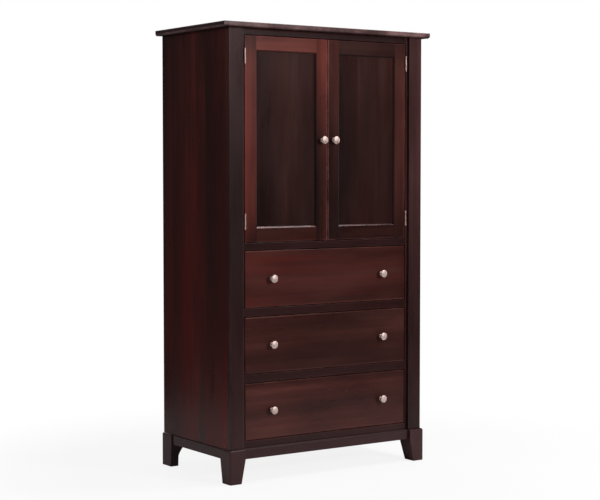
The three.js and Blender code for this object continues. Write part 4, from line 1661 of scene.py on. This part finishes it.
@dataclass
class Door(Part):
    """A frame-and-panel door: bevelled sticking, rails coped over it, and a flat panel."""

    side: Side
    looks: DoorLooks
    stile_face: float = 0.054
    rail_face: float = 0.055
    bevel: float = 0.007
    groove_depth: float = 0.009
    groove_width: float = 0.007
    edge_ease: float = 0.002
    back_ease: float = 0.001
    stick_radii: Floats = (0.0007, 0.0006, 0.0003, 0.0003, 0.0005, 0.001)
    stile_end: float = 0.0012
    rail_end: Pair = (0.0004, 0.001)
    # the worn-edge colour, also a painted highlight, stops this far short of the sticking, and is
    # scaled on the rails
    wear_and_highlight_margin: float = 0.004
    # painted shade in the sticking: where it starts and how much lies in front
    shade_margin: Pair = (0.0001, 0.0012)
    front_pool: float = 0.6
    rail_wear_and_highlight: float = 0.4
    panel_joints: Floats = (0.36, 0.71)
    panel_ease: float = 0.0008
    strike: Pair = (0.018, 0.014)
    strike_place: Pair = (0.004, 0.0015)
    strike_sunk: Pair = (0.0012, 0.0001)
    strike_ease: float = 0.0001

    @property
    def body(self) -> str:
        """The body that the whole door rides on."""
        return f"door_{self.side}"

    def _stick(self, y: float, s: float, face: float, back: float) -> list[Corner]:
        """Corners shared by stiles and rails, from the front over the sticking into the groove.

        Args:
            y: The front face.
            s: The member's outer edge.
            face: The width of its face.
            back: The door's back face.

        Returns:
            Corners as (place from front to back, place across the member, radius).
        """
        fore, edge = y + self.bevel, s + (face + self.bevel)
        aft, root = fore + self.groove_width, edge - self.groove_depth
        return list(zip((y, fore, fore, aft, aft, back),
                        (s + face, edge, root, root, edge, edge), self.stick_radii))

    def _pool(self, behind: Array, across: Array, face: float) -> Array:
        """Painted shade in the sticking: a little in front, and all of it where it meets the panel.
        """
        beside, below = self.shade_margin
        on_bevel = (across > face + beside) & (behind < self.bevel + below)
        share = np.clip(behind / self.bevel, 0, 1)
        return on_bevel * (self.front_pool + (1 - self.front_pool) * share)

    @property
    def stile(self) -> Surface:
        """The right door's meeting stile, carried up from its outline seen from above."""
        low, high = corners_of(MEETING_STILE)
        stuck = self._stick(low[1], low[0], self.stile_face, high[1])
        outline = rounded([(low[0], low[1], self.edge_ease), *[(x, y, r) for y, x, r in stuck],
                           (low[0], high[1], self.back_ease)])
        made = sweep(outline, Grain.UPRIGHT, low[2], high[2], self.stile_end)
        across = made.points[:, 0] - low[0]
        # painted shade in the sticking; the worn-edge colour, which also paints the edge highlight,
        # is kept off it
        made.pooled = self._pool(made.points[:, 1] - low[1], across, self.stile_face)
        made.wear = made.wear * (across < self.stile_face - self.wear_and_highlight_margin)
        return made

    @property
    def outer_stile(self) -> Surface:
        """The right door's hinge stile: the meeting stile turned round, in its own place."""
        shift = corners_of(OUTER_STILE)[1][0] - corners_of(MEETING_STILE)[1][0]
        made = self.stile.mirrored(0, centre_of(MEETING_STILE)[0]).moved((shift, 0, 0))
        # worn-edge colour, also a painted highlight, along the outer stile's edges
        made.wear = made.wear * self.looks.outer_wear_and_highlight
        return made

    def rail(self, worn: float = 0.0) -> Surface:
        """The right door's bottom rail. Its ends lie over the bevels of the stiles.

        At a depth y behind the face, each end goes further by what is left of the bevel there.

        Args:
            worn: The painted highlight on its sticking bevel; without one, painted shade lies
                there.

        Returns:
            The surface.
        """
        low, high = corners_of("door_right_rail_bottom")
        start = corners_of(MEETING_STILE)[1][0] + SEAM
        end = corners_of(OUTER_STILE)[0][0] - SEAM
        front = low[1]
        stuck = self._stick(front, low[2], self.rail_face, high[1])
        outline = rounded([(front, low[2], self.edge_ease), (high[1], low[2], self.back_ease),
                           *reversed(stuck)])

        def cope(flat: Array) -> Array:
            """What is left of the bevel at each point's depth."""
            return np.clip(front + self.bevel - flat[..., 0], 0, self.bevel)

        made = sweep(outline, Grain.ACROSS, start, end, *self.rail_end, cope)
        across = made.points[:, 2] - low[2]
        # painted shade in the sticking, which the sill swaps for a painted highlight along its
        # bevel
        stained = self._pool(made.points[:, 1] - front, across, self.rail_face)
        made.pooled = stained * (worn == 0.0)
        made.wear = self.rail_wear_and_highlight * made.wear * (across < self.wear_and_highlight_margin) + worn * (stained > 0)
        return made

    def build(self) -> None:
        """Makes the door: its frame, its panel of upright boards, its pull and its fittings."""
        body, looks, upright, across = self.body, self.looks, Grain.UPRIGHT, Grain.ACROSS
        low, high = corners_of("door_right_rail_bottom")[0], corners_of("door_right_rail_top")[1]
        top = self.rail().mirrored(2, (low[2] + high[2]) / 2)
        sill = self.rail(looks.sill_highlight)
        for name, surface, grain, node, boards in (
                ("outer_stile", self.outer_stile, upright, "stile_hinge_side", looks.hinge_stile),
                ("meeting_stile", self.stile, upright, "stile_knob_side", looks.knob_stile),
                ("upper_rail", top, across, "rail_top", looks.top_rail),
                ("lower_rail", sill, across, "rail_bottom", looks.bottom_rail)):
            self.shop.wooden(f"{body}_{name}", self.side.take(surface, Side.RIGHT), STAINED_DOOR,
                             grain, body, [f"{body}_{node}"], boards)
        low, high = corners_of(f"{body}_panel")
        joints = tuple(low[0] + share * (high[0] - low[0]) for share in self.panel_joints)
        boards = replace(looks.panel, joints=joints)
        panel = plank(low, high, upright, self.panel_ease, boards)
        self.shop.wooden(f"{body}_centre_panel", panel, STAINED_DOOR, upright, body,
                         [f"{body}_panel"], boards)
        Knob(self.shop).build(f"{body}_knob", body)
        self._fittings()

    def _fittings(self) -> None:
        """The pull's screw on the door's back, and the plate that the catch holds."""
        body, sign, back = self.body, self.side.sign, corners_of(OUTER_STILE)[1][1]
        x, _, z = centre_of(f"{body}_knob")
        screw = PULL_SCREW.surface((x, back, z), 1, 1.0)
        self.shop.plated(f"{body}_pull_screw", screw, ZINC_STEEL, body)
        (width, height), (inner, under) = self.strike, self.strike_place
        depth, proud = self.strike_sunk
        top = corners_of(f"{body}_rail_top")[1][2] - under
        x0, x1 = sorted((sign * inner, sign * (inner + width)))
        plate = plank((x0, back - depth, top - height), (x1, back + proud, top), Grain.UPRIGHT,
                      self.strike_ease)
        self.shop.plated(f"{body}_strike_plate", plate, ZINC_STEEL, body)


@dataclass
class Drawer(Part):
    """A drawer: an eased front, and a box of pale boards joined by dovetails.

    tail_fit is how far the root of a tail reaches on either side of its middle, as a share of the
    pitch. Each ease that is a pair is the radius and how far the wear reaches.
    """

    row: Row
    boards: Boards
    front_ease: Pair = (0.003, 0.002)
    back_ease: float = 0.001
    wall: float = 0.012
    tails: int = 5
    tail_fit: float = 0.30
    tail_slope: float = 0.14
    tail_corner: Pair = (0.0003, 0.0012)
    side_ease: Pair = (0.0004, 0.001)
    pin_corner: Pair = (0.0002, 0.0008)
    pin_ease: Pair = (0.0003, 0.0008)
    pin_sunk: float = 0.00005
    bottom: float = 0.006
    bottom_boards: int = 6
    bottom_raise: float = 0.012
    bottom_lap: float = 0.004
    board_ease: float = 0.0006
    socket_gap: float = 0.0001
    arc_steps: int = 2

    @property
    def body(self) -> str:
        """The body that the whole drawer rides on."""
        return f"drawer_{self.row}"

    def _tail_edges(self, low: float, high: float) -> tuple[Array, Array]:
        """Where the tails start and end up a corner, at the board's end and at their roots.

        The height is shared among tails and the pins between them, with half a pin at each end. A
        tail is wider at the end of its board by the slope times the thickness on each side.

        Args:
            low: Lower edge of the board.
            high: Upper edge of the board.

        Returns:
            (start, end) pairs at the board's end, and (start, end) pairs at the roots.
        """
        pitch = (high - low) / self.tails
        middle = low + pitch * (np.arange(self.tails) + 0.5)
        root, flare = pitch * self.tail_fit, self.tail_slope * self.wall
        return (np.c_[middle - root - flare, middle + root + flare],
                np.c_[middle - root, middle + root])

    @property
    def side_board(self) -> Surface:
        """The right side of the box: its outline in y and z has tails at both ends."""
        low, high = corners_of(f"{self.body}_box")
        ends, roots = self._tail_edges(low[2], high[2])
        (r, fade), fore, aft = self.tail_corner, low[1] + self.wall, high[1] - self.wall
        up = [corner for (a, b), (c, d) in zip(ends, roots)
              for corner in ((aft, c, r), (high[1], a, r), (high[1], b, r), (aft, d, r))]
        down = [corner for (a, b), (c, d) in zip(ends[::-1], roots[::-1])
                for corner in ((fore, d, r), (low[1], b, r), (low[1], a, r), (fore, c, r))]
        outline = rounded([(fore, low[2], r), (aft, low[2], r), *up, (aft, high[2], r),
                           (fore, high[2], r), *down], fade, self.arc_steps)
        return sweep(outline, Grain.ACROSS, high[0] - self.wall, high[0], *self.side_ease)

    def end_board(self, front: bool) -> Surface:
        """The board across the front or the back of the box, with the pins that fill the sockets.

        Args:
            front: Whether it is the front one.

        Returns:
            The surface.
        """
        low, high = corners_of(f"{self.body}_box")
        g, wall = self.socket_gap, self.wall
        outer, inner = (low[1], low[1] + wall) if front else (high[1], high[1] - wall)
        y0, y1 = sorted((outer, inner))
        parts = [plank((low[0] + wall + g, y0, low[2]), (high[0] - wall - g, y1, high[2]),
                       Grain.ACROSS, self.board_ease)]
        at_end, at_root = (
            np.r_[low[2], edges.ravel(), high[2]].reshape(-1, 2)
            for edges in self._tail_edges(low[2], high[2]))
        r, fade = self.pin_corner
        for (a, b), (c, d) in zip(at_end, at_root):
            corners = [(outer, a + g, r), (inner, c + g, r), (inner, d - g, r), (outer, b - g, r)]
            outline = rounded(corners if front else corners[::-1], fade, self.arc_steps)
            pin = sweep(outline, Grain.ACROSS, high[0] - wall + g, high[0] - self.pin_sunk,
                        *self.pin_ease)
            parts += [pin, pin.mirrored()]
        return join(parts)

    def build(self) -> None:
        """Makes the drawer: its front, rounded more at the four edges in sight, and its box."""
        name, (e, fade), back = self.body, self.front_ease, self.back_ease
        low, high = corners_of(f"{name}_front")
        outline = rectangle(low[1], high[1], low[2], high[2], (back, back, e, e))
        face = sweep(outline, Grain.ACROSS, low[0], high[0], e, fade)
        self.shop.wooden(f"{name}_face", face, STAINED_DRAWER, Grain.ACROSS, name,
                         [f"{name}_front"], self.boards)
        low, high = corners_of(f"{name}_box")
        board = self.side_board
        for side in Side:
            self.shop.wooden(f"{name}_side_{side}", side.take(board, Side.RIGHT), CLEAR_MAPLE,
                             Grain.DEEP, name, [f"{name}_box"] if side is Side.LEFT else [])
        for front, label in ((True, "fore"), (False, "rear")):
            self.shop.wooden(f"{name}_{label}_board", self.end_board(front), CLEAR_MAPLE,
                             Grain.ACROSS, name)
        inside, floor = self.wall - self.bottom_lap, low[2] + self.bottom_raise
        start = (low[0] + inside, low[1] + inside, floor)
        end = (high[0] - inside, high[1] - inside, floor + self.bottom)
        boards = Boards(0, evenly(start[0], end[0], self.bottom_boards), red=0.15, spread=0.06)
        self.shop.wooden(f"{name}_floor", plank(start, end, Grain.DEEP, self.board_ease, boards),
                         CLEAR_MAPLE, Grain.DEEP, name, [], boards)
        for side in Side:
            node = f"{name}_knob_{side}"
            Knob(self.shop).build(node, name)
            x, _, z = centre_of(node)
            screw = PULL_SCREW.surface((x, low[1] + self.wall, z), 1, 1.0)
            self.shop.plated(f"{name}_pull_screw_{side}", screw, ZINC_STEEL, name)


@dataclass
class Runners(Part):
    """The drawer runners: a plate under the drawer's side and a lip that guides it."""

    plate: float = 0.018
    lip: Pair = (0.012, 0.016)
    lip_gap: float = 0.001
    lip_nook: float = 0.0004
    box_half: float = 0.3985
    ease: float = 0.0006

    def build(self) -> None:
        """Makes the six runners, each from its outline in z and x."""
        e, nook, (width, rise) = self.ease, self.lip_nook, self.lip
        for row in Row:
            low, high = corners_of(f"drawer_{row}_runner_right")
            top, edge = low[2] + self.plate, self.box_half + self.lip_gap
            outline = rounded([
                (low[2], low[0], e), (top, low[0], e), (top, edge, nook), (top + rise, edge, e),
                (top + rise, edge + width, e), (top, edge + width, nook), (top, high[0], e),
                (low[2], high[0], e)])
            runner = sweep(outline, Grain.DEEP, low[1], high[1], e)
            for side in Side:
                self.shop.wooden(f"runner_{row}_{side}", side.take(runner, Side.RIGHT),
                                 CLEAR_MAPLE, Grain.DEEP, "case",
                                 [f"drawer_{row}_runner_{side}"], Boards(tone=-0.15))


@dataclass(frozen=True)
class Lamp:
    """A soft rectangular lamp that looks at a point: lights and mirrored say what it shows in."""

    name: str
    place: Triple
    aim: Triple
    size: Pair
    power: float
    lights: bool = True
    mirrored: bool = True


@dataclass
class Studio:
    """The camera of the photograph, soft lamps, a pale floor and a white background.

    The key lamp is small, for the crisp shadows beside the knobs. Its glare is filtered off, as by
    a polariser, and a wide soft box gives the lacquer and the metal what they mirror.
    """

    place: Triple = (-3.657, -5.398, 1.2474)
    heading: float = 34.34
    pitch: float = -2.975
    lens: float = 92.15
    sensor: float = 36.0
    ambient: float = 0.27
    mirrored_white: float = 0.1
    floor_radius: float = 1.9
    floor_white: float = 0.86
    floor_grey: float = 0.8
    floor_roughness: float = 0.9
    floor_sides: int = 96
    fade_start: float = 0.9
    fade_end: float = 0.96
    lamps: tuple[Lamp, ...] = (
        Lamp("key_lamp", (1.6, -4.5, 2.0), (0.0, -0.2, 1.0), (0.6, 0.6), 133.0, mirrored=False),
        Lamp("glare_lamp", (0.7, -4.7, 3.1), (0.0, -0.2, 1.0), (2.2, 2.2), 150.0, lights=False),
        Lamp("high_lamp", (1.45, -0.8, 3.95), (-0.1, -0.25, 1.0), (0.9, 0.9), 58.0),
        Lamp("right_lamp", (4.1, -1.3, 1.6), (0.0, -0.2, 1.0), (0.7, 2.0), 30.0),
        Lamp("left_lamp", (-4.6, 0.2, 2.9), (-0.3, 0.0, 1.0), (1.8, 2.0), 62.0),
        Lamp("back_lamp", (0.6, 4.4, 3.0), (0.0, 0.0, 1.0), (2.4, 2.4), 70.0),
    )

    def build(self) -> None:
        """Sets up the whole studio."""
        self._camera()
        self._world()
        self._floor()
        for lamp in self.lamps:
            self._lamp(lamp)

    def _camera(self) -> None:
        """Sets the camera at the photograph's place, heading and lens."""
        data = bpy.data.cameras.new("photo_camera")
        data.lens, data.sensor_width, data.sensor_fit = self.lens, self.sensor, "AUTO"
        camera = bpy.data.objects.new("photo_camera", data)
        camera.location = self.place
        camera.rotation_euler = (math.radians(90 + self.pitch), 0, math.radians(-self.heading))
        bpy.context.scene.collection.objects.link(camera)
        bpy.context.scene.camera = camera

    def _lamp(self, lamp: Lamp) -> None:
        """Hangs a lamp.

        Args:
            lamp: The lamp.
        """
        data = bpy.data.lights.new(lamp.name, "AREA")
        data.shape, data.size, data.size_y, data.energy = "RECTANGLE", *lamp.size, lamp.power
        hung = bpy.data.objects.new(lamp.name, data)
        way = np.array(lamp.aim, float) - np.array(lamp.place, float)
        way /= np.linalg.norm(way)
        hung.location = lamp.place
        hung.rotation_euler = (math.acos(-way[2]), 0, math.atan2(-way[0], way[1]))
        hung.visible_diffuse, hung.visible_glossy = lamp.lights, lamp.mirrored
        bpy.context.scene.collection.objects.link(hung)

    def _world(self) -> None:
        """White where the camera sees it, dark grey in reflections, a soft level for the rest."""
        world = bpy.context.scene.world = bpy.data.worlds.new("white_studio")
        world.use_nodes = True
        graph = Graph(world.node_tree)
        path = graph.add("LightPath")
        mirrored = path["Is Glossy Ray"]
        through = graph.math("MAXIMUM", path["Is Camera Ray"], path["Is Transmission Ray"])
        seen = graph.math("MAXIMUM", through, mirrored * self.mirrored_white)
        other = 1.0 - graph.math("MAXIMUM", through, mirrored)
        graph.feed(world.node_tree.nodes["Background"],
                   {"Strength": seen + other * self.ambient, "Color": (1.0, 1.0, 1.0, 1.0)})

    def _floor(self) -> None:
        """A round pale floor that keeps a soft shadow, and fades to the background for the camera.

        The share of plain white that the camera sees grows from floor_white round the armoire to 1
        at the rim.
        """
        angle = np.linspace(0, 2 * math.pi, self.floor_sides, endpoint=False)
        rim = np.c_[np.cos(angle), np.sin(angle), np.zeros(len(angle))]
        mesh = bpy.data.meshes.new("studio_floor")
        mesh.from_pydata((rim * self.floor_radius).tolist(), [], [list(range(len(angle)))])
        floor = bpy.data.objects.new("studio_floor", mesh)
        bpy.context.scene.collection.objects.link(floor)
        material = bpy.data.materials.new("pale_floor")
        material.use_nodes = True
        nodes, graph = material.node_tree.nodes, Graph(material.node_tree)
        graph.feed(nodes["Principled BSDF"], {"Base Color": (*[self.floor_grey] * 3, 1.0),
                                              "Roughness": self.floor_roughness})
        away = graph.vector("LENGTH", graph.add("TexCoord")["Object"])
        share = graph.span(away, self.fade_start, self.floor_radius * self.fade_end,
                           self.floor_white, 1.0, True)
        blend = graph.add("MixShader", {
            0: graph.add("LightPath")["Is Camera Ray"] * share,
            1: Value(graph, nodes["Principled BSDF"].outputs[0]),
            2: graph.add("Emission", {"Strength": 1.0})})
        output = next(node for node in nodes if node.type == "OUTPUT_MATERIAL")
        graph.feed(output, {"Surface": blend})
        mesh.materials.append(material)


LEFT_DOOR = DoorLooks(
    hinge_stile=Boards(tone=-0.45, rise=2.0, ends=0.45, red=0.1, blush=1.2, across=(0.25, -0.35)),
    knob_stile=Boards(tone=-0.3, rise=1.85, bow=-0.9, ends=0.2, red=0.25, across=(-0.5, 0.6)),
    top_rail=Boards(tone=2.0, ends=0.0, red=0.05),
    bottom_rail=Boards(tone=-0.55, ends=0.0, red=0.4),
    panel=Boards(tone=-0.68, rise=0.28, red=0.05, blush=0.1, spread=0.02),
    outer_wear_and_highlight=0.1, sill_highlight=0.8)
RIGHT_DOOR = DoorLooks(
    hinge_stile=Boards(tone=-0.43, rise=0.45, bow=0.3, ends=0.3, red=0.03, across=(-0.2, 0.15)),
    knob_stile=Boards(tone=-0.72, rise=1.4, bow=-0.4, ends=0.1, red=0.0),
    top_rail=Boards(tone=-0.45, ends=0.0, red=0.0),
    bottom_rail=Boards(tone=-0.62, ends=0.0, red=0.05),
    panel=Boards(tone=-0.61, rise=0.28, bow=-0.2, red=0.0, blush=0.1, spread=0.02,
                 across=(-0.1, 0.05, 0.1, 0.0)),
    outer_wear_and_highlight=0.8, sill_highlight=0.5)
DRAWER_LOOKS = {
    Row.TOP: Boards(2, (0.80,), tone=0.07, rise=-0.07, bow=-0.14, red=0.3, blush=0.4, spread=0.05),
    Row.MIDDLE: Boards(2, (0.55,), tone=0.2, rise=-0.2, bow=-0.36, red=0.0, blush=0.1, spread=0.05),
    Row.BOTTOM: Boards(2, (0.27,), tone=0.28, rise=0.06, bow=-0.06, red=0.0, blush=0.15,
                       spread=0.05),
}


@dataclass
class Armoire(Part):
    """The whole piece of furniture, in the order in which it is put together."""

    case: tuple[type[Part], ...] = (
        Top, CornerPost, CaseSide, BackBoard, FrontRails, Shelves, Base, Runners)

    def build(self) -> None:
        """Makes every piece."""
        for part in self.case:
            part(self.shop).build()
        for side, looks in zip(Side, (LEFT_DOOR, RIGHT_DOOR)):
            Door(self.shop, side, looks).build()
            for level in ("top", "bottom"):
                Hinge(self.shop).build(side, level)
        for row in Row:
            Drawer(self.shop, row, DRAWER_LOOKS[row]).build()


def main() -> None:
    """Builds the studio and the armoire."""
    logging.basicConfig(level=logging.INFO, format="%(message)s")
    bpy.context.scene.view_settings.view_transform = "Standard"
    Studio().build()
    shop = Workshop()
    Armoire(shop).build()
    log.info("%d pieces, %d triangles", shop.count, shop.triangles)


if __name__ == "__main__":
    main()
